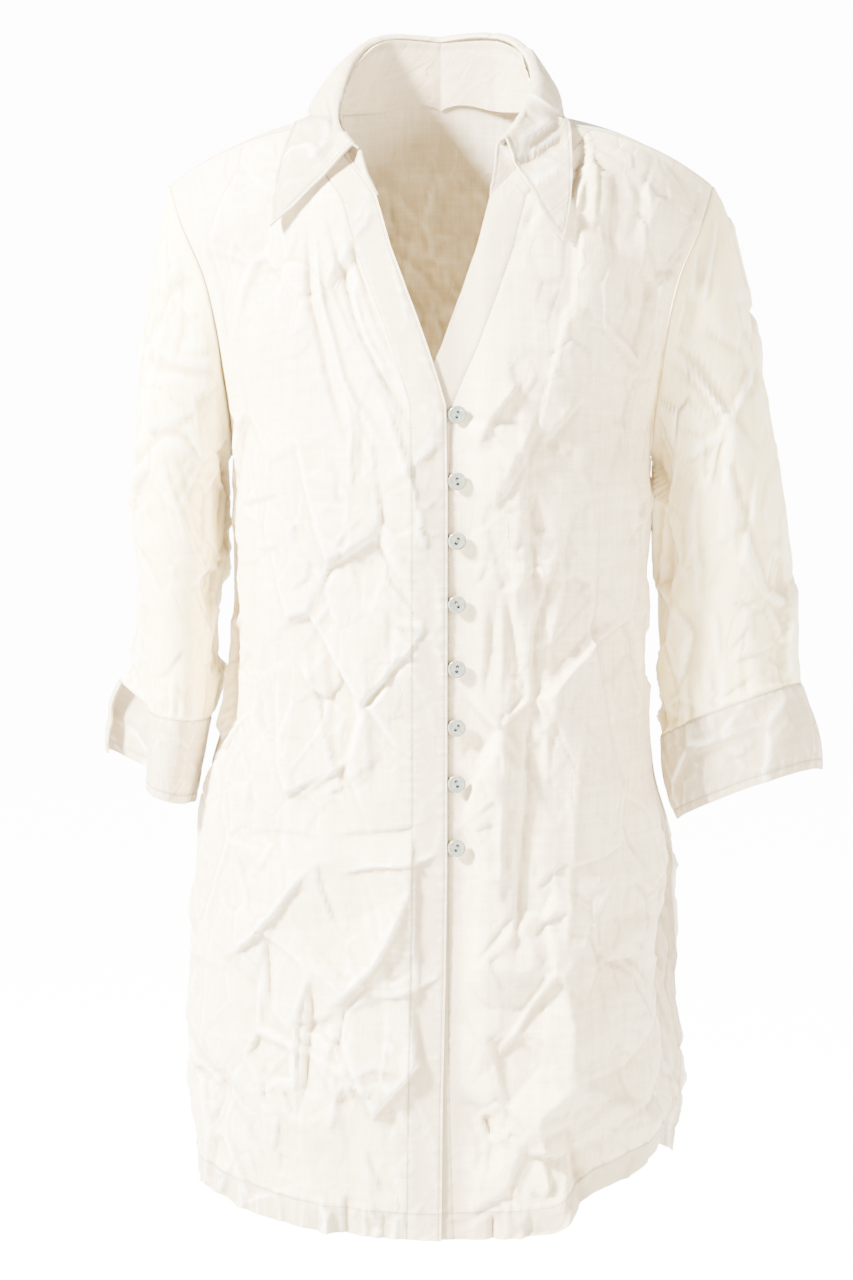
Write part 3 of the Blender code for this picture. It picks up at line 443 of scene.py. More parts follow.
# Creases of the two fronts as they are seen, in x and z.
frontCreases = (
    (((-98, -54), (-93, -110), (-79, -175), (-66, -232)), 12, -6.0, 0.6),
    (((-84, -50), (-73, -90), (-58, -136), (-29, -190), (-9, -226)), 11, -5.6, 0.6),
    (((-70, -58), (-58, -100), (-42, -140), (-24, -176)), 9, -4.4, 0.6),
    (((-92, -60), (-82, -120), (-62, -184), (-34, -232)), 9, 4.2, 0.7),
    (((-66, -96), (-52, -140), (-32, -178)), 7, 3.0, 0.7),
    (((-48, -174), (-36, -199), (-22, -240), (-18, -262), (-8, -299)), 9, 3.2, 0.6),
    (((-72, -171), (-65, -193), (-64, -224), (-63, -255)), 6, 2.2, 0.8),
    (((-60, -176), (-58, -215), (-57, -248)), 6, -2.2, 0.5),
    (
        ((-47, -237), (-43, -269), (-44, -285), (-39, -302), (-38, -314), (-28, -325), (-5, -350)),
        5,
        -2.4,
        0.9,
    ),
    (((-39, -327), (-37, -372), (-39, -405)), 5, -2.2, 0.9),
    (((-49, -205), (-45, -250), (-46, -268)), 5, -1.6, 0.7),
    (((-81, -228), (-75, -241), (-75, -257), (-63, -257)), 5, -1.6, 0.9),
    (((-54, -262), (-74, -288), (-53, -291)), 6, 1.8, 0.9),
    (((-106, -273), (-105, -291)), 5, -1.8, 0.7),
    (((-94, -299), (-96, -315), (-108, -323)), 5, -2.0, 0.9),
    (((-133, -300), (-114, -292)), 6, -2.2, 0.6),
    (((-146, -270), (-115, -255)), 6, -2.2, 0.6),
    (((-101, -356), (-92, -395), (-83, -431), (-69, -489)), 9, 3.4, 0.8),
    (((-88, -330), (-80, -400), (-78, -470)), 12, -2.4, 0.2),
    (((-65, -299), (-58, -335)), 9, -1.8, 0.2),
    (((-56, -345), (-52, -420), (-54, -480)), 9, 1.6, 0.3),
    (((2, -249), (-15, -263)), 5, 1.3, 0.8),
    (((-150, -395), (-140, -372)), 5, -1.8, 0.8),
    (((-149, -352), (-147, -372)), 4, -1.8, 0.8),
    (((-146, -440), (-140, -465), (-146, -492)), 6, 1.8, 0.7),
    (((-80, -500), (-30, -496), (3, -485)), 7, -2.6, 0.7),
    (((-150, -508), (-110, -500), (-82, -503)), 6, -1.4, 0.6),
    (((-76, -529), (-48, -522), (-20, -520), (4, -506)), 8, 3.6, 0.8),
    (((-88, -516), (-84, -541), (-74, -572)), 6, -3.4, 0.9),
    (((-91, -520), (-104, -536), (-130, -574), (-160, -600)), 6, 4.2, 0.8),
    (((-152, -520), (-142, -545), (-138, -566)), 6, -2.6, 0.8),
    (((-122, -508), (-132, -530)), 5, 2.0, 0.7),
    (((-24, -535), (-33, -564), (-51, -597), (-81, -631)), 8, 4.6, 0.7),
    (((-51, -614), (-36, -616), (-8, -605), (3, -595)), 6, 3.2, 0.8),
    (((-94, -599), (-105, -642), (-107, -712)), 5, 3.2, 0.9),
    (((-94, -598), (-96, -646), (-101, -690), (-106, -712)), 8, -6.0, 0.6),
    (((-128, -579), (-127, -632)), 5, -3.4, 0.9),
    (((-131, -684), (-129, -706)), 4, -2.4, 0.9),
    (((-117, -688), (-109, -712)), 5, -3.0, 0.9),
    (((-120, -708), (-122, -738)), 4, 2.2, 0.8),
    (((-117, -736), (-118, -753)), 5, -2.2, 0.8),
    (((-184, -655), (-174, -680), (-165, -692), (-167, -712), (-175, -730)), 7, -4.6, 0.8),
    (((-178, -600), (-180, -640)), 5, -2.4, 0.8),
    (((-69, -678), (-81, -638)), 4, 1.6, 0.9),
    (((-69, -678), (-65, -647)), 4, 1.4, 0.9),
    (((-69, -678), (-48, -668), (-28, -673)), 4, 1.4, 0.9),
    (((-69, -678), (-52, -691)), 4, 1.6, 0.9),
    (((-69, -678), (-63, -704)), 4, 1.6, 0.9),
    (((-69, -678), (-77, -697), (-77, -720)), 4, 1.8, 0.8),
    (((-23, -681), (-5, -670)), 5, -1.8, 0.8),
    (((-55, -728), (-41, -770)), 9, -2.2, 0.3),
    (((-88, -764), (-84, -790), (-86, -812)), 5, 3.4, 0.8),
    (((-70, -762), (-74, -812)), 7, -4.4, 0.6),
    (((-57, -768), (-56, -814)), 5, 3.0, 0.7),
    (((-44, -776), (-42, -812)), 5, -2.6, 0.7),
    (((-131, -683), (-112, -661)), 5, 1.5, 0.8),
    (((-153, -692), (-147, -706), (-134, -714)), 5, 1.5, 0.8),
    (((100, -14), (98, -45), (96, -80)), 8, -4.0, 0.6),
    (((122, -24), (119, -58), (121, -98)), 7, -2.8, 0.6),
    (((108, -20), (107, -70)), 6, 2.4, 0.5),
    (((132, -90), (130, -120)), 5, -1.8, 0.7),
    (((58, -168), (36, -196), (22, -220)), 7, 3.8, 0.7),
    (((71, -191), (62, -209), (49, -230), (42, -250)), 7, 3.6, 0.8),
    (((76, -200), (60, -226), (47, -250), (35, -262)), 6, -3.2, 0.7),
    (((104, -184), (85, -208), (70, -226)), 7, -3.8, 0.8),
    (((96, -186), (76, -212)), 6, 2.4, 0.7),
    (((70, -243), (67, -260), (64, -284), (66, -330), (68, -342)), 5, -3.8, 0.9),
    (((62, -246), (58, -300), (59, -330)), 6, 2.0, 0.5),
    (((100, -259), (89, -293), (89, -326)), 6, -2.2, 0.8),
    (((110, -228), (110, -302), (107, -380)), 3.5, 1.5, 1.0),
    (((85, -294), (72, -332), (67, -376), (65, -416)), 7, -6.4, 0.8),
    (((94, -300), (82, -340), (77, -400)), 7, 2.4, 0.6),
    (((106, -343), (112, -374)), 4, -2.2, 0.9),
    (((92, -312), (107, -322)), 6, -2.4, 0.8),
    (((34, -328), (32, -402)), 9, -2.8, 0.3),
    (((46, -325), (41, -402)), 7, 2.6, 0.6),
    (((66, -400), (62, -470), (56, -540), (54, -598)), 9, -8.0, 0.5),
    (((50, -352), (46, -430), (43, -500), (42, -570)), 12, 4.2, 0.5),
    (((85, -372), (78, -430), (76, -480)), 9, 3.0, 0.4),
    (((104, -400), (100, -470), (94, -552), (89, -600)), 4, 1.6, 1.0),
    (((20, -428), (14, -446)), 4, -2.4, 0.9),
    (((10, -430), (8, -450)), 4, -2.2, 0.9),
    (((22, -497), (40, -490)), 6, -2.0, 0.7),
    (((68, -542), (84, -528), (98, -522)), 7, -2.4, 0.7),
    (((66, -576), (80, -562), (93, -558)), 6, -3.2, 0.8),
    (((88, -530), (120, -520), (142, -508)), 8, -2.4, 0.5),
    (((137, -455), (137, -498), (146, -530)), 7, -4.6, 0.7),
    (((128, -450), (126, -505)), 7, 2.6, 0.6),
    (((136, -540), (150, -556), (152, -590)), 6, -2.2, 0.7),
    (((131, -685), (146, -668), (152, -640)), 5, 2.2, 0.8),
    (((107, -576), (113, -592), (118, -608)), 5, -5.6, 0.8),
    (((100, -598), (112, -603), (130, -597)), 6, 2.4, 0.7),
    (((127, -594), (143, -607), (154, -626)), 5, -3.0, 0.8),
    (((29, -705), (35, -724)), 4, -4.8, 0.9),
    (((35, -722), (31, -752)), 4, -2.2, 0.8),
    (((38, -728), (54, -712)), 5, 1.6, 0.8),
    (((36, -712), (60, -730)), 5, 1.4, 0.8),
    (((70, -714), (76, -750), (78, -775)), 5, 2.8, 0.9),
    (((82, -752), (74, -766), (62, -762)), 5, -2.6, 0.8),
    (((94, -736), (102, -772)), 8, -5.0, 0.5),
    (((112, -744), (120, -776)), 6, 2.8, 0.7),
    (((37, -775), (38, -812)), 5, -2.4, 0.8),
    (((60, -772), (56, -812)), 8, 2.4, 0.4),
    (((-150, -22), (-128, -40), (-108, -44)), 9, -2.2, 0.4),
    (((-170, -70), (-158, -120), (-156, -170)), 8, -2.4, 0.4),
    (((166, -76), (152, -130), (149, -190)), 8, -2.0, 0.4),
)

# Flat facets between straight folds: each point is where folds meet, in x and z, with its height. The
# points without a height keep the cloth round the facets level.
foldHeight = 2.05
foldPoints = {
    left: (
        (56, -599, 4.0), (88, -605, 5.0), (10, -591, 3.0), (30, -625, 0.5), (92, -643, 6.0),
        (91, -660, 7.5), (16, -688, -1.5), (64, -677, 0.5), (68, -708, 7.0), (91, -687, 7.0),
        (133, -686, -2.0), (158, -741, 3.5), (89, -709, 2.0), (120, -700, 3.0), (32, -710, -2.5),
        (33, -721, -2.5), (109, -580, -1.0), (118, -601, -2.5), (123, -595, 1.5), (141, -601, 1.0),
        (157, -611, 0.0), (69, -737, 1.0), (74, -735, 5.0), (86, -779, 7.0), (47, -701, 1.0),
        (35, -645, 1.5), (45, -659, -1.0), (74, -627, 1.0), (64, -646, 3.0), (111, -707, 4.0),
        (141, -723, 0.5), (154, -693, 2.5), (121, -651, 0.5), (94, -744, 0.5), (121, -738, 0.0),
        (57, -734, 2.0), (88, -812, 8.0), (64, -800, 0.5), (104, -790, -1.5), (52, -768, 1.5),
        (30, -752, 1.5), (38, -786, -1.0), (8, -560, 0), (60, -562, 0), (110, -550, 0),
        (165, -560, 0), (172, -640, 0), (174, -720, 0), (168, -790, 0), (125, -806, 0),
        (40, -825, 0), (6, -815, 0), (4, -740, 0), (5, -640, 0),
    ),
    right: (
        (-69, -678, 3.5), (-48, -668, 1.0), (-52, -691, 1.2), (-63, -704, 0.6), (-81, -638, 0.2),
        (-77, -697, -0.6), (-91, -520, 3.0), (-130, -574, 2.0), (-160, -600, 1.0), (-94, -599, 2.5),
        (-106, -712, 0.5), (-84, -640, -1.0), (-24, -535, 3.0), (-51, -597, 4.0), (-81, -631, 2.0),
        (-36, -616, 0.6), (-60, -560, -0.8), (-110, -640, 0.8), (-128, -579, 0.4), (-127, -632, -1.0),
        (-146, -690, 0.8), (-165, -692, -2.0), (-176, -655, 0.5), (-40, -740, 0.8), (-66, -750, -0.8),
        (-96, -756, 0.8), (-124, -748, -0.8), (-30, -650, -0.6), (-150, -540, -0.8), (-60, -512, 1.5),
        (-20, -500, 0), (-100, -480, 0), (-170, -500, 0), (-182, -600, 0), (-184, -700, 0),
        (-176, -770, 0), (-120, -810, 0), (-50, -815, 0), (-18, -780, 0), (-16, -640, 0),
    ),
}


def facetLift(places, folds):
    # the height at each place on the flat facets between the fold points
    flat = [Vector((x, z)) for x, z, _ in folds]
    heights = np.array([height for _, _, height in folds], float)
    lift = np.zeros(places.shape[:-1])
    for corners in geometry.delaunay_2d_cdt(flat, [], [], 0, 1e-6)[2]:
        first, second, third = [np.array(flat[corner]) for corner in corners]
        across = np.linalg.inv(np.stack([second - first, third - first], axis=1))
        share = (places - first) @ across.T
        inside = (share[..., 0] >= 0) & (share[..., 1] >= 0) & (share.sum(axis=-1) <= 1)
        start, second, third = (heights[corner] for corner in corners)
        height = start + share[..., 0] * (second - start) + share[..., 1] * (third - start)
        lift = np.where(inside, height, lift)
    return lift * foldHeight


# The back is not seen, so its creases are of the same kind: long soft falls and breaks at the waist.
backCreases = (
    (((-70, -90), (-58, -190), (-42, -300)), 13, -4.0, 0.3),
    (((66, -80), (54, -180), (38, -280)), 13, -4.0, 0.3),
    (((-8, -330), (-16, -420), (-30, -520)), 12, 4.0, 0.5),
    (((58, -360), (66, -450), (74, -540)), 12, 5.0, 0.5),
    (((-96, -420), (-92, -510), (-84, -600)), 12, -5.0, 0.4),
    (((20, -560), (24, -670), (34, -780)), 14, 6.0, 0.5),
    (((-64, -600), (-60, -700), (-52, -790)), 13, 6.0, 0.5),
    (((112, -580), (118, -680), (120, -780)), 13, 5.0, 0.5),
    (((-130, -560), (-132, -650), (-126, -740)), 12, -5.0, 0.5),
    (((-150, -505), (-90, -498), (-40, -506)), 8, -2.6, 0.7),
    (((10, -512), (70, -500), (140, -508)), 8, -2.8, 0.7),
    (((-40, -30), (-62, -60), (-110, -84)), 9, -2.4, 0.5),
    (((44, -34), (70, -58), (116, -80)), 9, -2.2, 0.5),
    (((-20, -520), (30, -540), (60, -575)), 6, 3.0, 0.8),
    (((-110, -606), (-80, -640), (-30, -650)), 6, -2.6, 0.8),
    (((60, -640), (90, -668), (130, -676)), 6, 2.8, 0.8),
)

# Creases of each sleeve as seen from the front.
sleeveCreases = {
    left: (
        (((192, -52), (185, -84), (182, -124)), 7, -5.0, 0.5),
        (((198, -55), (194, -88), (188, -128)), 5, 2.6, 0.8),
        (((177, -112), (175, -128), (166, -150)), 5, -2.6, 0.7),
        (((211, -120), (222, -157)), 6, -1.6, 0.7),
        (((187, -138), (207, -153), (224, -160)), 6, -1.6, 0.7),
        (((230, -168), (227, -180), (220, -196)), 6, -1.8, 0.7),
        (((192, -207), (216, -197)), 6, -1.5, 0.7),
        (((189, -219), (187, -252)), 5, -2.0, 0.7),
        (((200, -219), (190, -259)), 5, 2.0, 0.7),
        (((208, -234), (216, -267)), 6, -2.0, 0.7),
        (((213, -248), (220, -280), (231, -312), (243, -346)), 8, -3.0, 0.5),
        (((183, -248), (186, -309), (186, -356)), 8, 2.6, 0.6),
        (((165, -337), (181, -362), (178, -387), (174, -418)), 7, -3.4, 0.6),
        (((195, -344), (204, -385)), 6, 1.6, 0.6),
        (((212, -384), (253, -374)), 7, -1.5, 0.6),
        (((208, -342), (240, -339)), 7, -1.2, 0.6),
        (((240, -382), (253, -394)), 5, -1.8, 0.8),
    ),
    right: (
        (((-204, -222), (-192, -264), (-175, -310), (-168, -344)), 9, 3.2, 0.6),
        (((-193, -222), (-182, -262), (-166, -308)), 10, -2.6, 0.3),
        (((-188, -80), (-186, -130), (-190, -176)), 9, -2.4, 0.4),
        (((-198, -120), (-204, -180), (-208, -226)), 8, 2.0, 0.4),
        (((-176, -200), (-196, -214)), 6, -1.8, 0.7),
        (((-177, -315), (-169, -351)), 5, -2.0, 0.7),
        (((-221, -296), (-204, -331), (-199, -334)), 6, -2.0, 0.7),
        (((-221, -342), (-217, -374)), 6, -1.8, 0.7),
        (((-184, -372), (-200, -392), (-214, -398)), 6, -1.6, 0.7),
    ),
}


def scatterCreases(draws, count, area, style):
    # seeded creases inside an area given as (lowest x, lowest z, highest x, highest z)
    lowX, lowZ, highX, highZ = area
    made = []
    for _ in range(count):
        start = np.array((draws.uniform(lowX, highX), draws.uniform(lowZ, highZ)))
        turn = math.radians(draws.gauss(style["lean"], style["spread"]))
        way = np.array((math.sin(turn), -math.cos(turn)))
        reach = draws.uniform(*style["length"])
        aside = np.array((way[1], -way[0])) * draws.uniform(-0.16, 0.16) * reach
        knots = (start, start + way * reach / 2 + aside, start + way * reach)
        height = draws.uniform(*style["height"]) * draws.choice((-1, 1))
        width, crisp = draws.uniform(*style["width"]), draws.uniform(0.4, 0.95)
        made.append((tuple(map(tuple, knots)), width, height, crisp))
    return made


scatterStyle = {
    "fine": {"lean": 0, "spread": 42, "length": (14, 42), "width": (3.2, 5.0), "height": (0.4, 1.0)},
    "middle": {"lean": 0, "spread": 34, "length": (35, 90), "width": (5, 9), "height": (0.8, 2.4)},
}


def surfaceOf(grid, closed):
    # unit normals of a grid whose columns may close into a ring
    down = np.gradient(grid, axis=0)
    if closed:
        along = (np.roll(grid, -1, axis=1) - np.roll(grid, 1, axis=1)) / 2
    else:
        along = np.gradient(grid, axis=1)
    normals = np.cross(down, along)
    return normals / (np.linalg.norm(normals, axis=2, keepdims=True) + 1e-9)


def facingOut(normals, outward):
    return normals if np.sum(normals * outward, axis=2).mean() > 0 else -normals


# reach and ways: the neighbours that a point's hollowness is measured against; deepest: the hollow that takes
# the full painted shade
toneStyle = {
    "reach": 2,
    "deepest": 0.75,
    "seamWidth": 1.0,
    "ways": ((-1, 0), (1, 0), (0, -1), (0, 1), (-0.7, -0.7), (0.7, 0.7), (-0.7, 0.7), (0.7, -0.7)),
}


def toneOf(lift, doubled=0.0, seams=()):
    # how hollow each point lies beside its neighbours, from -1 to 1, for painted shade in the hollows and a
    # painted highlight on the crests, how far its cloth is doubled, for its painted shade, and how near it
    # lies to a stitched line
    reach = toneStyle["reach"]
    padded = np.pad(lift, reach, mode="edge")
    rows, columns = lift.shape
    around = np.zeros(lift.shape)
    for down, across in toneStyle["ways"]:
        first, second = reach + round(down * reach), reach + round(across * reach)
        around += padded[first : first + rows, second : second + columns] / len(toneStyle["ways"])
    hollow = np.clip((around - lift) / toneStyle["deepest"], -1, 1)
    stitched = np.zeros(lift.shape)
    for distance, away in seams:
        stitched = np.maximum(stitched, np.exp(-(((distance - away) / toneStyle["seamWidth"]) ** 2)))
    return np.stack([hollow, np.broadcast_to(doubled, lift.shape), stitched], axis=2)


def seamDip(distance, depth=0.7, width=1.6):
    return -depth * np.exp(-((distance / width) ** 2))


frontStyle = {
    "seed": 11,
    "fine": 46,
    "areas": {left: (20, -790, 160, -60), right: (-165, -790, -20, -60)},
    "underSafe": -0.9,
    "underFree": 12,
    "buttonSafe": 0.9,
    "buttonFree": 14,
    "hemPucker": 1.1,
}
backStyle = {
    "seed": 31,
    "middle": (34, (-165, -780, 165, -60)),  # count and area of the scattered creases of each kind
    "fine": (90, (-165, -780, 165, -40)),
}
slitStyle = {
    "between": (-560, -520),
    "reach": 26,
    "wave": 1.6,
    "stretch": (0.2, 0.2, 1.4),
    "least": 2.2,
    "quiet": 30,
    "most": 20,
}


def calmEdges(lift, fromSeam):
    # folds that run out over a side edge end low there
    most = slitStyle["least"] + slitStyle["most"] * smoothStep(0, slitStyle["quiet"], fromSeam)
    return np.clip(lift, -most, most)


def slitWaves(panel, seed):
    # where the side slit is open, from 0 to 1, and the waves of its edge
    slit = 1 - smoothStep(*slitStyle["between"], panel["points"][:, :, 2])
    near = 1 - smoothStep(0, slitStyle["reach"], panel["fromSeam"])
    return slit, slitStyle["wave"] * slit * near * crumple(panel["points"] * slitStyle["stretch"], seed)


def upTo(mark, distance):
    # 1 up to a stitched line and 0 beyond it
    return 1 - smoothStep(mark - 0.6, mark + 0.6, distance)


def dressFront(side):
    front = makeFront(side)
    points, fromEdge = front["points"], front["fromEdge"]
    x, z = points[:, :, 0], points[:, :, 2]
    outward = np.array((side * 0.3, -1, 0))
    normals = facingOut(surfaceOf(points, False), outward)
    places = drifted(points[:, :, (0, 2)], 2.0)
    draws = random.Random(frontStyle["seed"] + side)
    fine = scatterCreases(draws, frontStyle["fine"], frontStyle["areas"][side], scatterStyle["fine"])
    lift = creaseLift(places, frontCreases) + creaseLift(places, fine) + facetLift(places, foldPoints[side])
    lift += crumple(points, 4.0 + side)
    slit, waves = slitWaves(front, 12.0 + side)
    lift += waves
    if side == right:
        lift *= smoothStep(-10, 24, fromEdge)
        under = 1 - smoothStep(24, 30, fromEdge)
        lift = np.maximum(lift, frontStyle["underSafe"] * under - frontStyle["underFree"] * (1 - under))
    else:
        below = underlapShare(points)
        lift *= smoothStep(26, 50, fromEdge) * below + smoothStep(-8, 20, fromEdge) * (1 - below)
        free = frontStyle["buttonFree"] * smoothStep(34, 54, fromEdge)
        lift = np.minimum(lift, frontStyle["buttonSafe"] + free)
    seamQuiet = np.maximum(smoothStep(0, 12, front["fromSeam"]), slit)
    topQuiet = smoothStep(0, 16, front["fromTop"])
    lift = calmEdges(lift * seamQuiet * topQuiet, front["fromSeam"])
    facing, hem, edge = (frontShape[key] for key in ("facingStitch", "hemStitch", "edgeStitch"))
    seams = [(fromEdge, facing), (front["fromHem"], hem), (front["fromSeam"], 0), (front["fromTop"], 0)]
    lift += stitchGroove(fromEdge, facing, z, 3.0 + side)
    if side == right:
        lift += stitchGroove(fromEdge, edge, z, 5.0, 0.25)
        seams.append((fromEdge, edge))
    lift += stitchGroove(front["fromHem"], hem, front["weave"][:, :, 0], 7.0 + side, 0.4)
    hemWave = crumple(points * (1.5, 1.5, 0.2), 9.0 + side, frontStyle["hemPucker"])
    lift += hemWave * (1 - smoothStep(0, 26, front["fromHem"])) * smoothStep(20, 34, fromEdge)
    lift += seamDip(front["fromSeam"]) + seamDip(front["fromTop"])
    # the facing and the hem are doubled, and get a painted shade
    front["tone"] = toneOf(lift, np.maximum(upTo(facing, fromEdge), upTo(hem, front["fromHem"])), seams)
    front["base"] = points
    moved = points + normals * lift[:, :, None]
    if side == left:
        # a painted shadow darkens the strip beside the edge that covers it, and it is wider lower down
        wide = 13 + 9 * smoothStep(-400, -640, z)
        beside = frontShape["paintedShadowBesideEdge"] * smoothStep(-9, 1, x) * (1 - smoothStep(6, wide, x))
        front["tone"][:, :, 0] = np.maximum(front["tone"][:, :, 0], beside * underlapShare(points))
        drop = frontShape["underlapDrop"] * (1 - smoothStep(*frontShape["underlapEnds"], moved[:, :, 0]))
        moved[:, :, 1] += drop * underlapShare(moved)
        moved[:, :, 2] += hemLift(moved)
    front["points"] = moved
    front["normals"] = facingOut(surfaceOf(moved, False), outward)
    return front


def underlapShare(points):
    # 1 below the opening of the neck, where one front lies on the other, and 0 above it
    return 1 - smoothStep(*frontShape["neckOpening"], points[:, :, 2])


def hemLift(points):
    # the left front's hem has crept up beside its deepest fold
    nearHem = 1 - smoothStep(points[0, 0, 2], points[0, 0, 2] + frontShape["hemLiftReach"], points[:, :, 2])
    return frontShape["hemLift"] * smoothStep(*frontShape["hemLiftBetween"], points[:, :, 0]) * nearHem


def dressBack():
    halves = []
    draws = random.Random(backStyle["seed"])
    spread = []
    for kind in ("middle", "fine"):
        spread += scatterCreases(draws, *backStyle[kind], scatterStyle[kind])
    hem = backShape["hemStitch"]
    for side in (right, left):
        back = makeBack(side)
        points, fromSeam, fromHem = back["points"], back["fromSeam"], back["fromHem"]
        normals = facingOut(surfaceOf(points, False), np.array((side * 0.2, 1, 0)))
        places = drifted(points[:, :, (0, 2)], 6.0)
        lift = creaseLift(places, backCreases) + creaseLift(places, spread) + crumple(points, 14.0)
        slit, waves = slitWaves(back, 13.0 + side)
        lift += waves
        lift *= np.maximum(smoothStep(0, 12, fromSeam), slit) * smoothStep(0, 14, back["fromTop"])
        lift *= 1 - smoothStep(-60, -14, points[:, :, 2])
        lift = calmEdges(lift, fromSeam)
        lift += stitchGroove(fromHem, hem, back["weave"][:, :, 0], 17.0, 0.4)
        lift += seamDip(fromSeam) + seamDip(back["fromTop"])
        back["tone"] = toneOf(lift, upTo(hem, fromHem), [(fromHem, hem), (fromSeam, 0), (back["fromTop"], 0)])
        back["base"] = points
        back["points"] = points + normals * lift[:, :, None]
        rounded = (1 - smoothStep(0, backShape["cornerAcross"], fromSeam)) ** 2
        rounded = rounded * (1 - smoothStep(0, backShape["cornerUp"], fromHem))
        back["points"][:, :, 2] += backShape["cornerLift"] * rounded
        halves.append(back)
    belowNeck = np.abs(halves[0]["points"][:, 0, 0]) < 1
    shared = (halves[0]["points"][belowNeck, 0] + halves[1]["points"][belowNeck, 0]) / 2
    shared[:, 0] = 0
    for side, back in zip((right, left), halves):
        back["points"][belowNeck, 0] = shared
        back["normals"] = facingOut(surfaceOf(back["points"], False), np.array((side * 0.2, 1, 0)))
    return halves


# Each row of a sleeve is one ring: its inner and outer points seen from the front, its middle in Y and
# half its depth. bow pulls the front and back towards the body, flare opens the outer back, and tilt
# raises the front and lowers the back.
sleeves = {
    "columns": "xInner zInner xOuter zOuter yMiddle halfDepth bow flare tilt".split(),
    left: (
        (156, -246, 211, -74, 1, 55, 9, 0, 0),
        (157, -256, 226, -134, 2, 57, 5, 0, 0),
        (158, -281, 242, -208, 2, 57, 1, 0, 2),
        (158.5, -322, 253, -280, 2, 55, 0, 0, 4),
        (159, -376, 260, -346, 0, 52, 0, 0, 6),
        (161, -420, 264, -386, -1, 50, 0, 0, 10),
        (162.4, -450.5, 267.6, -410.5, -2, 49, 0, 0, 15),
    ),
    right: (
        (156, -246, 205, -76, 1, 56, 8, 0, 0),
        (158, -260, 214, -138, 3, 59, 4, 0, 0),
        (160, -298, 223, -216, 3, 60, 0, 0, 0),
        (162, -336, 226, -286, 3, 59, 0, 0, 0),
        (164, -378, 223, -344, 3, 57, 0, 2, 1),
        (166, -412, 219, -396, 3, 56, 0, 14, 3),
        (170.4, -435.8, 217, -429.8, 4, 55, 0, 29, 5),
    ),
    "flareBetween": (262, 330),
    "flareSharpness": 3.0,
    "flareBack": 1.1,
    "flareRise": 0.4,
    "tiltBehind": 0.35,
    "around": 124,
    "rings": 118,
    "armholeGap": 0.3,
    "clearance": 2.3,
    "gather": 1.5,
    "gatherReach": 46,
    "pleats": 26,
    "crumple": 0.9,
    "across": (158, 262),
    "middle": (16, -400, -80),  # count, lowest and highest of the scattered creases of each kind
    "fine": (44, -420, -70),
}
cuffs = {
    left: (
        (162.3, -448.7, 267.3, -408.7, -2, 49, 0, 0, 15),
        (165, -483, 280, -446, -3, 50, 0, 0, 16),
        (176, -512, 283, -474, -4, 49, 0, 0, 17),
    ),
    right: (
        (170, -433.7, 217, -427.7, 4, 55, 0, 29, 5),
        (176, -466, 219, -455, 4, 54, 0, 37, 4),
        (184, -498, 220, -487, 4, 52, 0, 36, 4),
    ),
    "vent": {left: (-36, 323.4), right: (24, 336)},
    "around": 132,
    "rings": 30,
    "edgeStitch": 6.5,
    "seamStitch": 1.8,
    "crumple": 0.45,
    "creases": 8,
}


def ringPoints(side, values, angles):
    # points of a ring: 0 is its outer line, 90 its front, 180 its inner line
    turn = np.radians(angles)
    sine, cosine = np.sin(turn), np.cos(turn)
    opened = smoothStep(*sleeves["flareBetween"], angles % 360)
    closing = 1 - smoothStep(sleeves["flareBetween"][1], 360, angles % 360)
    x = (values["xInner"] + values["xOuter"]) / 2 + (values["xOuter"] - values["xInner"]) / 2 * cosine
    flared = values["flare"] * opened ** sleeves["flareSharpness"] * closing
    x = x - values["bow"] * sine**4 + flared
    y = values["yMiddle"] - values["halfDepth"] * sine + flared * sleeves["flareBack"]
    z = (values["zInner"] + values["zOuter"]) / 2 + (values["zOuter"] - values["zInner"]) / 2 * cosine
    tilted = values["tilt"] * np.where(sine > 0, 1, sleeves["tiltBehind"]) * sine
    z = z + tilted + flared * sleeves["flareRise"]
    return np.stack([side * x, y, z], axis=1)


def throughKnots(knots, places):
    # a grid whose columns run smoothly through the columns of the knots
    grid = np.empty((len(places), *knots.shape[1:]))
    for column, axis in np.ndindex(knots.shape[1:]):
        grid[:, column, axis] = smoothColumn(knots[:, column, axis], places)
    return grid


def sleeveGrid(side):
    angles = 180 + np.linspace(0, 360, sleeves["around"], endpoint=False)
    gap = np.array((side * sleeves["armholeGap"], 0, 0))
    knots = [np.array([armholePoint(side, angle % 360) + gap for angle in angles])]
    for row in sleeves[side]:
        knots.append(ringPoints(side, dict(zip(sleeves["columns"], row)), angles))
    last = len(knots) - 1
    nearTop, nearCuff = (0, 0.02, 0.05, 0.1), last - np.array((0.08, 0.04, 0.015, 0))
    places = np.concatenate([nearTop, np.linspace(0.16, last - 0.12, sleeves["rings"]), nearCuff])
    return throughKnots(np.array(knots), places), angles


def treeOf(sheets):
    points, faces = [], []
    for grid, closed, flip in sheets:
        faces += facesOf(*grid.shape[:2], closed, flip, len(points))
        points += [Vector(point) for point in grid.reshape(-1, 3)]
    return BVHTree.FromPolygons(points, faces)


def facesOf(rows, columns, closed, flip, first=0):
    index = np.arange(rows * columns).reshape(rows, columns) + first
    if closed:
        index = np.concatenate([index, index[:, :1]], axis=1)
    face = np.stack([index[:-1, :-1], index[:-1, 1:], index[1:, 1:], index[1:, :-1]], axis=-1).reshape(-1, 4)
    return (face[:, ::-1] if flip else face).tolist()


def cleared(grid, tree, clearance, reach=30, facing=0.75):
    # the grid with each point that lies straight over the tree's surface at least the clearance outside it
    moved = grid.copy()
    for index in np.ndindex(grid.shape[:2]):
        point = Vector(grid[index])
        place, normal, _, distance = tree.find_nearest(point)
        height = (point - place).dot(normal)
        if height < clearance and distance < reach and abs(height) > facing * distance:
            moved[index] = point + normal * (clearance - height)
    return moved


def ringWeave(grid):
    return np.stack([alongDistances(grid, 1), -alongDistances(grid, 0)], axis=2)


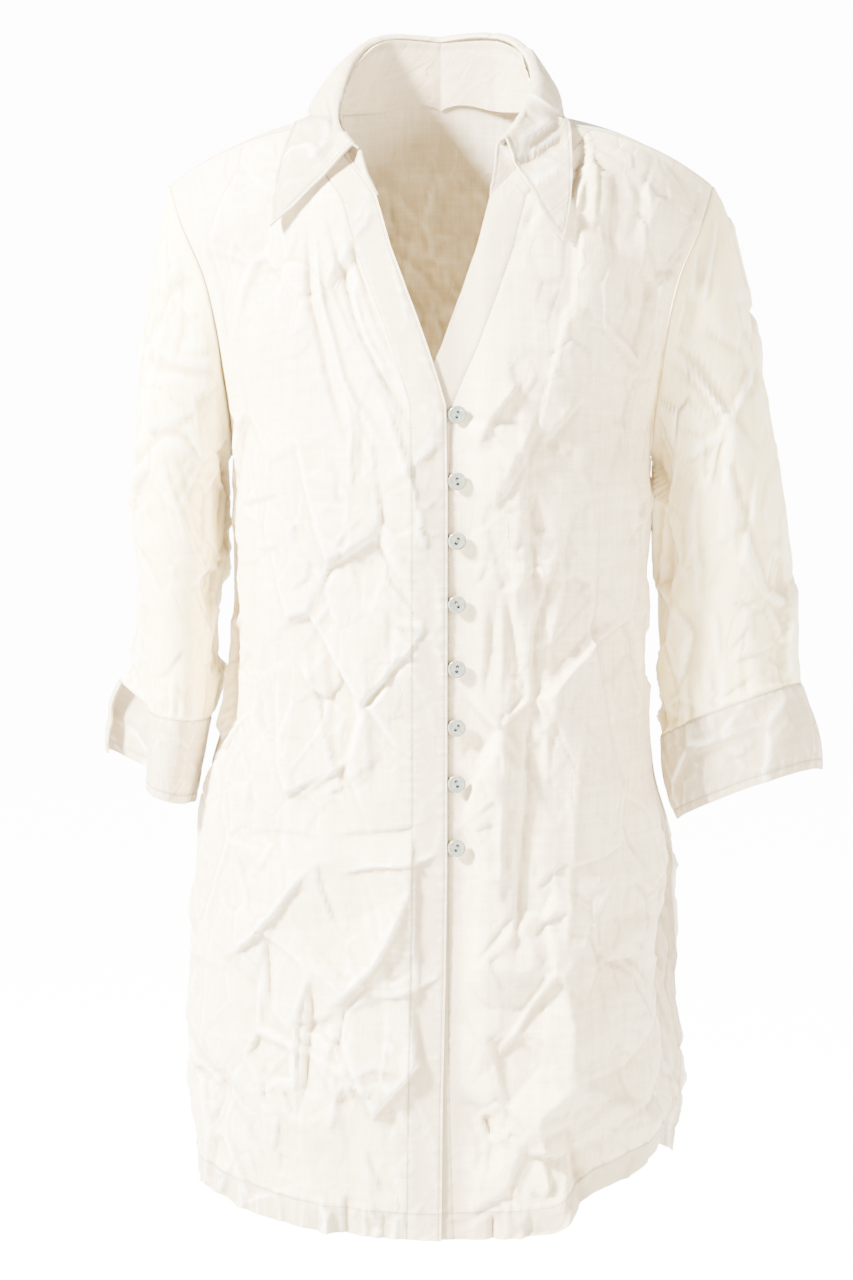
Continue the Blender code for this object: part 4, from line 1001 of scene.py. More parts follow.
def ringNoise(angles, size, seed):
    # noise that closes on itself round a ring
    found = []
    for turn in np.radians(angles):
        across, up = (way(turn) * sleeves["pleats"] / size for way in (math.cos, math.sin))
        found.append(noise.noise(Vector((across, up, seed))))
    return np.array(found)


def gathers(angles, seed):
    # uneven pleats round a ring
    return ringNoise(angles, 6.3, seed) * 1.5 + ringNoise(angles, 2.9, seed + 4) * 0.9


def dressSleeve(side, torsoTree):
    grid, angles = sleeveGrid(side)
    centre = grid.mean(axis=1, keepdims=True)
    normals = facingOut(surfaceOf(grid, True), grid - centre)
    fromTop = alongDistances(grid, 0)
    fromCuff = fromTop[-1:] - fromTop
    places = drifted(grid[:, :, (0, 2)], 21.0 + side)
    draws = random.Random(50 + side)
    low, high = sorted(side * edge for edge in sleeves["across"])
    scattered = {}
    for kind in ("middle", "fine"):
        count, bottom, top = sleeves[kind]
        scattered[kind] = scatterCreases(draws, count, (low, bottom, high, top), scatterStyle[kind])
    front = smoothStep(-0.25, 0.25, np.sin(np.radians(angles)))[None, :]
    lift = creaseLift(places, sleeveCreases[side]) * front
    lift = lift + creaseLift(places, scattered["middle"]) * (1 - front)
    lift += creaseLift(places, scattered["fine"]) + crumple(grid, 24.0 + side, sleeves["crumple"])
    lift *= smoothStep(0, 18, fromTop) * smoothStep(0, 10, fromCuff)
    pleats = gathers(angles, 30.0 + side)[None, :]
    reach = sleeves["gatherReach"]
    lift += pleats * sleeves["gather"] * smoothStep(0, 5, fromCuff) * (1 - smoothStep(5, reach, fromCuff))
    lift += seamDip(fromTop) + seamDip(fromCuff, 0.9, 2.0)
    sleeve = {"weave": ringWeave(grid), "tone": toneOf(lift, 0.0, [(fromTop, 0), (fromCuff, 0)])}
    grid = grid + normals * lift[:, :, None]
    grid[2:] = cleared(grid[2:], torsoTree, sleeves["clearance"])
    sleeve["points"] = grid
    return sleeve


def dressCuff(side):
    angles = np.linspace(*cuffs["vent"][side], cuffs["around"])
    grid = []
    for place in np.linspace(0, len(cuffs[side]) - 1, cuffs["rings"]):
        values = valuesAt(sleeves["columns"], cuffs[side], place)
        grid.append(ringPoints(side, values, angles))
    grid = np.array(grid)
    normals = facingOut(surfaceOf(grid, False), grid - grid.mean(axis=1, keepdims=True))
    fromTop = alongDistances(grid, 0)
    fromEdge = fromTop[-1:] - fromTop
    around = alongDistances(grid, 1)
    lift = crumple(grid, 40.0 + side, cuffs["crumple"])
    draws = random.Random(70 + side)
    low, high = sorted((side * 165, side * 280))
    small = scatterCreases(draws, cuffs["creases"], (low, -505, high, -425), scatterStyle["fine"])
    lift += creaseLift(drifted(grid[:, :, (0, 2)], 44.0), small)
    lift *= smoothStep(-6, 10, fromTop)
    lift += stitchGroove(fromTop, cuffs["seamStitch"], around, 41.0 + side, 0.3)
    lift += stitchGroove(fromEdge, cuffs["edgeStitch"], around, 43.0 + side, 0.3)
    lift += seamDip(fromTop, 0.8)
    cuff = {"points": grid + normals * lift[:, :, None], "normals": normals}
    cuff["weave"] = np.stack([around, -fromTop], axis=2)
    cuff["tone"] = toneOf(lift, 0.0, [(fromTop, cuffs["seamStitch"]), (fromEdge, cuffs["edgeStitch"])])
    cuff["fromTop"], cuff["fromEdge"] = fromTop, fromEdge
    return cuff


# The collar, from the middle of the back round to the front on each side: the line where it rolls over
# and the edge of the fall.
collar = {
    "columns": "rollX rollY rollZ edgeX edgeY edgeZ".split(),
    right: (
        (0, 62, 58, 0, 92, 18),
        (-40, 52, 60, -62, 79, 16),
        (-61, 27, 46, -95, 38, 13),
        (-71, -6, 20, -96, -5, 1),
        (-71, -42, 3, -107, -43, -21),
        (-58, -78, -12, -121, -92, -64),
    ),
    left: (
        (0, 62, 58, 0, 92, 18),
        (40, 52, 60, 60, 79, 17),
        (59, 26, 50, 84, 38, 18),
        (64, -12, 30, 88, -8, 12),
        (56, -50, 11, 90, -46, -12),
        (39, -79, -8, 84, -92, -75),
    ),
    "step": 2.2,
    "neckCentre": (0, 5),
    "standGap": 0.8,
    "standCurve": 1.5,
    "standRows": 16,
    "seamGap": 0.35,
    "rollRadius": 3.5,
    "rollGap": 1.4,
    "rollCrest": (0.6, 1.0),
    "rollShoulder": (2.2, 0.8),
    "fallRows": 34,
    "fallBulge": 4.0,
    "fallShares": (0.33, 0.66, 1.0),
    "clearance": 3.8,
    # how far the leaf's front edge curves out, in x and z
    "endBow": {left: (-6.0, -5.0), right: (3.0, -4.0)},
    "bowFrom": 0.8,
    "edgeStitch": 3.4,
    "neckSteps": (2, 3),  # table steps that end on the neck edge, in front and behind
}


def neckline(front, back):
    # the neck edge of one side, from the middle of the back to the front's corner
    parts = []
    behind, ahead = collar["neckSteps"][1], collar["neckSteps"][0]
    for panel, part, steps in ((back, "back", behind), (front, "front", ahead)):
        top = len(torso[part]) - 1 + len(torso[part + "Yoke"])
        parts.append(panel["points"][panel["places"] >= top - steps - 1e-6, 0])
    edge = np.concatenate([parts[0][:-1], parts[1][::-1]])
    length = np.concatenate([[0], np.cumsum(np.linalg.norm(np.diff(edge, axis=0), axis=1))])
    at = np.linspace(0, length[-1], int(length[-1] / collar["step"]))
    edge = np.stack([np.interp(at, length, edge[:, axis]) for axis in range(3)], axis=1)
    into = np.array((*collar["neckCentre"], 0)) - edge * (1, 1, 0)
    return edge, into / np.linalg.norm(into, axis=1, keepdims=True), at / length[-1]


def collarLines(side, shares):
    places = shares * (len(collar[side]) - 1)
    columns = [smoothColumn([row[i] for row in collar[side]], places) for i in range(len(collar["columns"]))]
    return np.stack(columns[:3], axis=1), np.stack(columns[3:], axis=1)


def roundTheNeck(lines):
    # rows that run from the right front round the back to the left front
    return np.array([np.concatenate([first[::-1], second[1:]]) for first, second in zip(*lines)])


def dressCollar(necks, torsoTree):
    stands, falls = [], []
    up = np.array((0, 0, 1))
    for side in (right, left):
        edge, into, shares = necks[side]
        roll, outer = collarLines(side, shares)
        bottom = edge + into * collar["standGap"]
        top = roll - up * collar["seamGap"]
        stands.append([bottom + (top - bottom) * share for share in np.linspace(0, 1, collar["standRows"])])
        away = (outer - roll) * (1, 1, 0)
        away /= np.linalg.norm(away, axis=1, keepdims=True)
        crest, shoulder = [
            roll + (away * out + up * rise) * collar["rollRadius"]
            for out, rise in (collar["rollCrest"], collar["rollShoulder"])
        ]
        knots = [roll + up * collar["rollGap"], crest, shoulder]
        bowX, bowZ = collar["endBow"][side]
        bow = smoothStep(collar["bowFrom"], 1, shares)[:, None] * np.array((bowX, 0, bowZ))
        for share in collar["fallShares"]:
            arch = math.sin(math.pi * share)
            down = shoulder + (outer - shoulder) * share
            knots.append(down + away * (collar["fallBulge"] * arch) + bow * arch)
        falls.append(throughKnots(np.array(knots), np.linspace(0, len(knots) - 1, collar["fallRows"])))
    stand, fall = roundTheNeck(stands), roundTheNeck(falls)
    outward = stand[len(stand) // 2] * (1, 1, 0)
    outward /= np.linalg.norm(outward, axis=1, keepdims=True)
    curve = collar["standCurve"] * np.sin(np.linspace(0, math.pi, len(stand)))
    stand += outward[None] * curve[:, None, None]
    fall[10:] = cleared(fall[10:], torsoTree, collar["clearance"])
    return finishCollar(stand, 60.0, 0.3), finishCollar(fall, 64.0, 0.35)


# folds across the two leaves, in x and z
leafCreases = (
    (((48, -20), (62, -16), (78, -8), (92, 2)), 9, -5.0, 0.7),
    (((52, -10), (66, -2), (84, 8)), 10, 3.6, 0.4),
    (((60, 26), (74, 16), (88, 8)), 7, 2.8, 0.8),
    (((58, 14), (70, 6)), 6, -2.0, 0.8),
    (((62, -34), (76, -30), (86, -22)), 6, 1.4, 0.7),
    (((-72, 6), (-84, -10), (-96, -24)), 9, 2.4, 0.6),
    (((-66, -24), (-80, -34), (-92, -52)), 8, -2.4, 0.5),
    (((-84, 24), (-78, 4), (-82, -14)), 8, -2.4, 0.5),
)


def finishCollar(grid, seed, amount):
    normals = facingOut(surfaceOf(grid, False), grid * (1, 1, 0) + (0, 0, 30))
    fromRoll, around = alongDistances(grid, 0), alongDistances(grid, 1)
    fromEdge = fromRoll[-1:] - fromRoll
    fromEnds = np.minimum(around, around[:, -1:] - around)
    lift = crumple(grid, seed, amount) * smoothStep(-8, 14, fromEnds)
    inFront = 1 - smoothStep(-10, 20, grid[:, :, 1])
    lift += creaseLift(grid[:, :, (0, 2)], leafCreases) * inFront * smoothStep(-4, 8, fromEdge)
    nearest = np.minimum(fromEdge, fromEnds)
    lift += stitchGroove(nearest, collar["edgeStitch"], around, seed + 1, 0.25)
    piece = {"points": grid + normals * lift[:, :, None], "normals": normals}
    piece["weave"] = ringWeave(grid)
    piece["tone"] = toneOf(lift, 0.0, [(nearest, collar["edgeStitch"])])
    piece["fromEdge"], piece["around"] = fromEdge, around
    return piece


def placeObject(name, data):
    made = bpy.data.objects.new(name, data)
    bpy.context.scene.collection.objects.link(made)
    return made


def applyAll(made):
    # keeps what the modifiers make as a plain mesh
    graph = bpy.context.evaluated_depsgraph_get()
    mesh = bpy.data.meshes.new_from_object(made.evaluated_get(graph))
    made.modifiers.clear()
    made.data = mesh
    mesh.name = made.name


def smoothUpTo(made, angle):
    made.data.shade_smooth()
    made.data.set_sharp_from_angle(angle=math.radians(angle))


def addSheet(name, sheets, closed, flips, wall, material):
    # cloth from one or more grids, with its wall inside the points that are given
    points, faces = [], []
    for sheet, flip in zip(sheets, flips):
        faces += facesOf(*sheet["points"].shape[:2], closed, flip, len(points))
        points += (sheet["points"].reshape(-1, 3) * mm).tolist()
    mesh = bpy.data.meshes.new(name)
    mesh.from_pydata(points, [], faces)
    for label, key in (("clothPlace", "weave"), ("clothPaintedLightAndTone", "tone")):
        values = np.zeros((len(points), 3), np.float32)
        width = sheets[0][key].shape[2]
        values[:, :width] = np.concatenate([sheet[key].reshape(-1, width) for sheet in sheets])
        mesh.attributes.new(label, "FLOAT_VECTOR", "POINT").data.foreach_set("vector", values.ravel())
    shape = bmesh.new()
    shape.from_mesh(mesh)
    bmesh.ops.remove_doubles(shape, verts=shape.verts, dist=cloth["samePoint"] * mm)
    shape.to_mesh(mesh)
    shape.free()
    mesh.materials.append(material)
    made = placeObject(name, mesh)
    thick = made.modifiers.new("wall", "SOLIDIFY")
    thick.thickness = wall * mm
    thick.offset = -1
    thick.use_even_offset = False
    applyAll(made)
    smoothUpTo(made, cloth["sharpAngle"])
    return made


def feed(tree, socket, value):
    if isinstance(value, bpy.types.NodeSocket):
        tree.links.new(value, socket)
    else:
        socket.default_value = value


def addNode(tree, kind, ins=None, **settings):
    # a node with its settings, and a value or a link for each input that is named or numbered
    made = tree.nodes.new(kind)
    for name, value in settings.items():
        setattr(made, name, value)
    for socket, value in (ins or {}).items():
        feed(tree, made.inputs[socket], value)
    return made


def maths(tree, operation, *values):
    return addNode(tree, "ShaderNodeMath", dict(enumerate(values)), operation=operation).outputs[0]


def vectors(tree, operation, *values, out=0):
    made = addNode(tree, "ShaderNodeVectorMath", dict(enumerate(values)), operation=operation)
    return made.outputs[out]


def scaledBy(tree, vector, factor):
    made = addNode(tree, "ShaderNodeVectorMath", {0: vector, "Scale": factor}, operation="SCALE")
    return made.outputs[0]


def newGroup(name, kind, ins, outs):
    tree = bpy.data.node_groups.new(name, kind)
    for label, socket, value in ins:
        made = tree.interface.new_socket(label, in_out="INPUT", socket_type=socket)
        if value is not None:
            made.default_value = value
    for label, socket in outs:
        tree.interface.new_socket(label, in_out="OUTPUT", socket_type=socket)
    return tree, addNode(tree, "NodeGroupInput"), addNode(tree, "NodeGroupOutput")


def noiseValue(tree, vector, scale, detail=2.0, roughness=0.5, stretch=(1, 1, 1)):
    moved = vectors(tree, "MULTIPLY", vector, stretch)
    sizes = {"Vector": moved, "Scale": scale, "Detail": detail, "Roughness": roughness}
    return addNode(tree, "ShaderNodeTexNoise", sizes).outputs[0]


weave = {
    "thread": 0.62,  # from thread to thread
    "threadHeight": 0.35,
    "slubs": ((1.5, 26), (5.5, 90)),  # width and length of the clear slubs and the faint ones
}


def linenWeaveGroup():
    # threads and slubs both ways, from a place in the cloth in millimetres
    sockets = (("Place", "NodeSocketVector", None),)
    found = (("Height", "NodeSocketFloat"), ("Slub", "NodeSocketFloat"))
    tree, ins, outs = newGroup("linenWeave", "ShaderNodeTree", sockets, found)
    place = ins.outputs["Place"]
    split = addNode(tree, "ShaderNodeSeparateXYZ", {0: place})
    waves = []
    for axis in (0, 1):
        turn = maths(tree, "MULTIPLY", split.outputs[axis], math.pi / weave["thread"])
        waves.append(maths(tree, "ABSOLUTE", maths(tree, "SINE", turn)))
    threads = maths(tree, "MULTIPLY", maths(tree, "ADD", *waves), 0.5)
    pairs = []
    for width, length in weave["slubs"]:
        thin, run = 1 / width, 1 / length
        both = [noiseValue(tree, place, 1.0, 1.0, 0.5, way) for way in ((thin, run, 1), (run, thin, 1))]
        pairs.append(maths(tree, "ADD", *both))
    slub = maths(tree, "MULTIPLY", maths(tree, "ADD", *pairs), 0.25)
    height = maths(tree, "ADD", maths(tree, "MULTIPLY", threads, weave["threadHeight"]), slub)
    feed(tree, outs.inputs["Height"], height)
    feed(tree, outs.inputs["Slub"], slub)
    return tree


crinkle = {
    "size": 7.0,
    "bendScale": 0.8,
    "bend": (1.1, 1.1, 0),
    "stretch": (1.0, 0.5, 0.0),  # facets are longer up and down than across
    "edge": 0.13,
    "tilt": 2.2,
    "patchScale": 0.2,
    "patchFrom": 0.36,
    "patchContrast": 4.0,
    "patchLeast": 0.12,
}


def crinkleGroup():
    # small flat facets with crisp edges, finer than the mesh, as a height from about -1 to 1
    sockets = (("Place", "NodeSocketVector", None), ("Size", "NodeSocketFloat", crinkle["size"]))
    tree, ins, outs = newGroup("crinkle", "ShaderNodeTree", sockets, (("Height", "NodeSocketFloat"),))
    scaled = scaledBy(tree, ins.outputs["Place"], maths(tree, "DIVIDE", 1.0, ins.outputs["Size"]))
    bent = addNode(tree, "ShaderNodeTexNoise", {"Vector": scaled, "Scale": crinkle["bendScale"]})
    moved = vectors(tree, "MULTIPLY_ADD", bent.outputs["Color"], crinkle["bend"], scaled)
    tall = vectors(tree, "MULTIPLY", moved, crinkle["stretch"])
    spot = {"Vector": tall, "Scale": 1.0}
    cells = addNode(tree, "ShaderNodeTexVoronoi", spot, voronoi_dimensions="2D")
    edges = addNode(tree, "ShaderNodeTexVoronoi", spot, voronoi_dimensions="2D", feature="DISTANCE_TO_EDGE")
    away = vectors(tree, "SUBTRACT", tall, cells.outputs["Position"])
    lean = vectors(tree, "SUBTRACT", cells.outputs["Color"], (0.5, 0.5, 0.5))
    tilt = vectors(tree, "DOT_PRODUCT", away, lean, out="Value")
    edgeRange = {"Value": edges.outputs["Distance"], "From Max": crinkle["edge"]}
    inside = addNode(tree, "ShaderNodeMapRange", edgeRange, interpolation_type="SMOOTHSTEP").outputs[0]
    facet = maths(tree, "MULTIPLY", maths(tree, "MULTIPLY", tilt, crinkle["tilt"]), inside)
    cloud = noiseValue(tree, scaled, crinkle["patchScale"], 1.0)
    patch = maths(tree, "SUBTRACT", cloud, crinkle["patchFrom"])
    patch = maths(tree, "MULTIPLY", patch, crinkle["patchContrast"])
    patch = maths(tree, "MINIMUM", maths(tree, "MAXIMUM", patch, crinkle["patchLeast"]), 1.0)
    feed(tree, outs.inputs["Height"], maths(tree, "MULTIPLY", facet, patch))
    return tree


def mixed(tree, share, first, second):
    made = addNode(tree, "ShaderNodeMix", data_type="RGBA")
    feed(tree, made.inputs["Factor"], share)
    for socket, value in (("A", first), ("B", second)):
        found = next(s for s in made.inputs if s.name == socket and s.type == "RGBA")
        feed(tree, found, (*value, 1) if isinstance(value, tuple) else value)
    return next(s for s in made.outputs if s.type == "RGBA")


# each look has a light and a deep colour that noise mixes, and a doubled colour, a painted shade for the
# light that shines through one layer but not through two
linenLooks = {
    "linen": {"light": (0.91, 0.79, 0.56), "deep": (0.77, 0.65, 0.43), "doubled": (0.58, 0.49, 0.33)},
    "back_linen": {"light": (0.87, 0.78, 0.60), "deep": (0.74, 0.65, 0.48), "doubled": (0.56, 0.48, 0.35)},
    # sleeve_linen_painted_light is the linen painted lighter, a painted light on the sleeves
    "sleeve_linen_painted_light": {"light": (1.0, 0.875, 0.53), "deep": (0.95, 0.80, 0.46), "doubled": (0.74, 0.665, 0.52)},
    # doubled_linen is the linen painted darker all over, a painted shade for the doubled cuffs and collar
    "doubled_linen": {
        "light": (0.655, 0.55, 0.38),
        "deep": (0.555, 0.46, 0.305),
        "doubled": (0.74, 0.665, 0.52),
    },
}
linenShine = {
    "Metallic": 0,
    "Roughness": 0.72,
    "IOR": 1.4,
    "Specular IOR Level": 0.3,
    "Sheen Weight": 0.12,
    "Sheen Roughness": 0.5,
}
linenTones = {
    "cloudScale": 0.012,
    "slubContrast": 5.0,
    # doubled: how far doubled cloth takes its painted shade
    "doubled": 0.75,
    # hollow: the colour of painted shade in the hollows and beside the covering edge of the left front
    "hollow": (0.50, 0.40, 0.26),
    "paintedShadeShare": 0.55,
    "paintedShadeMost": 0.9,
    # crest: the colour of a painted highlight on the crests
    "crest": (1.0, 0.96, 0.84),
    "paintedHighlightShare": 0.75,
    "stitched": (0.46, 0.38, 0.26),
    "stitchedShare": 0.7,
    "crinkleSize": 13.0,
    "crinkleHeight": 0.45,
    "weaveHeight": 0.22,
}


def linenMaterial(name, groups):
    look, tones = linenLooks[name], linenTones
    paint = bpy.data.materials.new(name)
    paint.use_nodes = True
    tree = paint.node_tree
    shader = tree.nodes["Principled BSDF"]
    for label, value in linenShine.items():
        shader.inputs[label].default_value = value
    place = addNode(tree, "ShaderNodeAttribute", attribute_name="clothPlace").outputs["Vector"]
    threads = addNode(tree, "ShaderNodeGroup", node_tree=groups["weave"])
    feed(tree, threads.inputs["Place"], place)
    fine = addNode(tree, "ShaderNodeGroup", node_tree=groups["crinkle"])
    feed(tree, fine.inputs["Place"], place)
    feed(tree, fine.inputs["Size"], tones["crinkleSize"])
    cloud = noiseValue(tree, place, tones["cloudScale"], 2.0)
    slub = maths(tree, "SUBTRACT", threads.outputs["Slub"], 0.5)
    share = maths(tree, "ADD", maths(tree, "MULTIPLY", slub, tones["slubContrast"]), cloud)
    share = maths(tree, "MINIMUM", maths(tree, "MAXIMUM", share, 0.0), 1.0)
    tone = addNode(tree, "ShaderNodeAttribute", attribute_name="clothPaintedLightAndTone").outputs["Vector"]
    split = addNode(tree, "ShaderNodeSeparateXYZ", {0: tone})
    # painted shade darkens the hollows and a painted highlight lightens the crests
    hollow = maths(tree, "MULTIPLY", maths(tree, "MAXIMUM", split.outputs["X"], 0.0), tones["paintedShadeShare"])
    hollow = maths(tree, "MINIMUM", hollow, tones["paintedShadeMost"])
    crest = maths(tree, "MULTIPLY", maths(tree, "MINIMUM", split.outputs["X"], 0.0), -tones["paintedHighlightShare"])
    # doubled cloth gets a painted shade
    doubled = maths(tree, "MULTIPLY", split.outputs["Y"], tones["doubled"])
    stitched = maths(tree, "MULTIPLY", split.outputs["Z"], tones["stitchedShare"])
    colour = mixed(tree, share, look["light"], look["deep"])
    colour = mixed(tree, doubled, colour, look["doubled"])
    colour = mixed(tree, hollow, colour, tones["hollow"])
    colour = mixed(tree, crest, colour, tones["crest"])
    colour = mixed(tree, stitched, colour, tones["stitched"])
    feed(tree, shader.inputs["Base Color"], colour)
    weaving = maths(tree, "MULTIPLY", threads.outputs["Height"], tones["weaveHeight"])
    crinkling = maths(tree, "MULTIPLY", fine.outputs["Height"], tones["crinkleHeight"])
    height = maths(tree, "ADD", weaving, crinkling)
    bump = addNode(tree, "ShaderNodeBump", {"Strength": 1.0, "Distance": mm, "Height": height})
    feed(tree, shader.inputs["Normal"], bump.outputs["Normal"])
    return paint


def plainMaterial(name, colour, roughness, **more):
    paint = bpy.data.materials.new(name)
    paint.use_nodes = True
    shader = paint.node_tree.nodes["Principled BSDF"]
    shader.inputs["Base Color"].default_value = (*colour, 1)
    shader.inputs["Roughness"].default_value = roughness
    for label, value in more.items():
        shader.inputs[label.replace("_", " ")].default_value = value
    return paint


shellLook = {
    "base": (0.7, 0.72, 0.7),
    "roughness": 0.24,
    "coat": 0.4,
    "coatRoughness": 0.1,
    "ramp": (
        (0.3, (0.08, 0.072, 0.05)),
        (0.45, (0.27, 0.26, 0.21)),
        (0.58, (0.14, 0.18, 0.16)),
        (0.72, (0.42, 0.43, 0.38)),
    ),
    "cloudScale": 190.0,
    "cloudShare": 0.75,
    "grainScale": 420.0,
    "grainStretch": (1, 1, 2.4),
    "grainShare": 0.25,
    "turned": 0.12,  # how far the clouds shift with the angle
    "turnedBlend": 0.4,
}


def shellMaterial():
    # mother-of-pearl: clouds of white, green and grey that shift with the angle
    look = shellLook
    coat = {"Coat_Weight": look["coat"], "Coat_Roughness": look["coatRoughness"]}
    paint = plainMaterial("shell", look["base"], look["roughness"], **coat)
    tree = paint.node_tree
    place = addNode(tree, "ShaderNodeTexCoord").outputs["Object"]
    cloud = noiseValue(tree, place, look["cloudScale"], 3.0, 0.6)
    grain = noiseValue(tree, place, look["grainScale"], 2.0, 0.6, look["grainStretch"])
    facing = addNode(tree, "ShaderNodeLayerWeight", {"Blend": look["turnedBlend"]}).outputs["Facing"]
    ramp = addNode(tree, "ShaderNodeValToRGB")
    elements = ramp.color_ramp.elements
    first, *middle, last = look["ramp"]
    for element, (position, colour) in zip(elements, (first, last)):
        element.position = position
        element.color = (*colour, 1)
    for position, colour in middle:
        elements.new(position).color = (*colour, 1)
    cloud = maths(tree, "MULTIPLY", cloud, look["cloudShare"])
    grain = maths(tree, "MULTIPLY", grain, look["grainShare"])
    shifted = maths(tree, "MULTIPLY", facing, look["turned"])
    share = maths(tree, "ADD", maths(tree, "ADD", cloud, grain), shifted)
    feed(tree, ramp.inputs[0], share)
    feed(tree, tree.nodes["Principled BSDF"].inputs["Base Color"], ramp.outputs[0])
    return paint


buttons = {
    "count": 8,
    "radius": 6.35,
    "sides": 40,
    "hole": 1.15,
    "holeSides": 16,
    "apart": 1.75,  # from the middle to a hole
    "face": 1.5,
    "holeDepth": 1.1,
    # from the middle of the face round the rim to the middle of the back: share of the radius, and depth
    "profile": (
        (0, -1.5),
        (0.5, -1.5),
        (0.64, -1.56),
        (0.74, -1.78),
        (0.84, -1.9),
        (0.93, -1.82),
        (1, -1.3),
        (0.98, -0.6),
        (0.86, 0),
        (0, 0),
    ),
    "turns": (12, -8, 24, -30, 8, 34, -16, 20),  # each button's two holes, from upright
    "sharpAngle": 42,
    "samePoint": 0.002,
    "threadAside": (-0.12, 0.12),
    "threadDepth": -1.6,
    "threadDip": 0.9,
    "threadPoints": 7,
    "threadApart": 0.05,
    "threadStrand": 0.1,
}


def meshOf(shape, name):
    mesh = bpy.data.meshes.new(name)
    shape.to_mesh(mesh)
    shape.free()
    return mesh


def buttonShape():
    # round, dished and rimmed, lying in XZ with its face towards -Y
    shape = bmesh.new()
    ring = [shape.verts.new((share * buttons["radius"] * mm, y * mm, 0)) for share, y in buttons["profile"]]
    edges = [shape.edges.new(pair) for pair in zip(ring, ring[1:])]
    turning = {"axis": (0, 1, 0), "cent": (0, 0, 0), "angle": 2 * math.pi, "steps": buttons["sides"]}
    bmesh.ops.spin(shape, geom=ring + edges, **turning)
    bmesh.ops.remove_doubles(shape, verts=shape.verts, dist=buttons["samePoint"] * mm)
    bmesh.ops.recalc_face_normals(shape, faces=shape.faces)
    return meshOf(shape, "button")


def pegShape():
    # the two pegs that cut the holes
    shape = bmesh.new()
    radius = buttons["hole"] * mm
    sizes = {"radius1": radius, "radius2": radius, "depth": buttons["holeDepth"] * 2 * mm}
    for way in (-1, 1):
        made = bmesh.ops.create_cone(shape, segments=buttons["holeSides"], cap_ends=True, **sizes)
        bmesh.ops.rotate(shape, verts=made["verts"], matrix=Matrix.Rotation(math.pi / 2, 3, "X"))
        place = (0, -buttons["face"] * mm, way * buttons["apart"] * mm)
        bmesh.ops.translate(shape, verts=made["verts"], vec=place)
    return meshOf(shape, "peg")


def addButtons(paint, holeShadePaint):
    made = []
    for number, turn in enumerate(buttons["turns"], start=1):
        low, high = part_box(f"button_{number}")
        seat = Matrix.Translation(((low[0] + high[0]) / 2, high[1], (low[2] + high[2]) / 2))
        place = seat @ Matrix.Rotation(math.radians(turn), 4, "Y")
        shape, peg = buttonShape(), pegShape()
        shape.transform(place)
        peg.transform(place)
        button = placeObject(f"shell_button_{number}", shape)
        cutter = placeObject(f"peg_{number}", peg)
        holes = button.modifiers.new("holes", "BOOLEAN")
        holes.operation = "DIFFERENCE"
        holes.solver = "EXACT"
        holes.object = cutter
        applyAll(button)
        bpy.data.objects.remove(cutter)
        button.data.materials.clear()
        button.data.materials.append(paint)
        button.data.materials.append(holeShadePaint)
        back = place.inverted()
        # the walls of the holes take a near-black painted shade
        for face in button.data.polygons:
            middle = back @ face.center
            off = math.hypot(middle.x, abs(middle.z) - buttons["apart"] * mm)
            if off < buttons["hole"] * mm * 1.01 and middle.y > -buttons["face"] * mm:
                face.material_index = 1
        smoothUpTo(button, buttons["sharpAngle"])
        made.append((button, place))
    return made


def lineObject(name, paths):
    # the paths as plain edges, each point with the direction that its surface faces
    points, edges, facing = [], [], []
    for path, normals in paths:
        first = len(points)
        points += (np.asarray(path) * mm).tolist()
        facing += np.asarray(normals).tolist()
        edges += [(first + i, first + i + 1) for i in range(len(path) - 1)]
    mesh = bpy.data.meshes.new(name)
    mesh.from_pydata(points, edges, [])
    out = mesh.attributes.new("faceNormal", "FLOAT_VECTOR", "POINT")
    out.data.foreach_set("vector", np.asarray(facing, np.float32).ravel())
    return placeObject(name, mesh)


stitch = {"Pitch": 0.0026, "Length": 0.002, "Width": 0.0005}  # in metres, as the trees take them
twist = {"Twist": 0.0022, "Apart": 0.0003, "Strand": 0.00034}
twistStep = 0.00035


def geometryTree(name, sizes):
    sockets = [("Geometry", "NodeSocketGeometry", None)]
    sockets += [(label, "NodeSocketFloat", size) for label, size in sizes.items()]
    sockets.append(("Paint", "NodeSocketMaterial", None))
    return newGroup(name, "GeometryNodeTree", sockets, (("Geometry", "NodeSocketGeometry"),))


def evenCurve(tree, edges, step):
    line = addNode(tree, "GeometryNodeMeshToCurve", {"Mesh": edges})
    steps = {"Curve": line.outputs["Curve"], "Length": step}
    return addNode(tree, "GeometryNodeResampleCurve", steps, mode="LENGTH").outputs["Curve"]


def finishTree(tree, ins, outs, instances):
    real = addNode(tree, "GeometryNodeRealizeInstances", {"Geometry": instances})
    paint = {"Geometry": real.outputs["Geometry"], "Material": ins.outputs["Paint"]}
    painted = addNode(tree, "GeometryNodeSetMaterial", paint)
    feed(tree, outs.inputs["Geometry"], painted.outputs["Geometry"])
    return tree


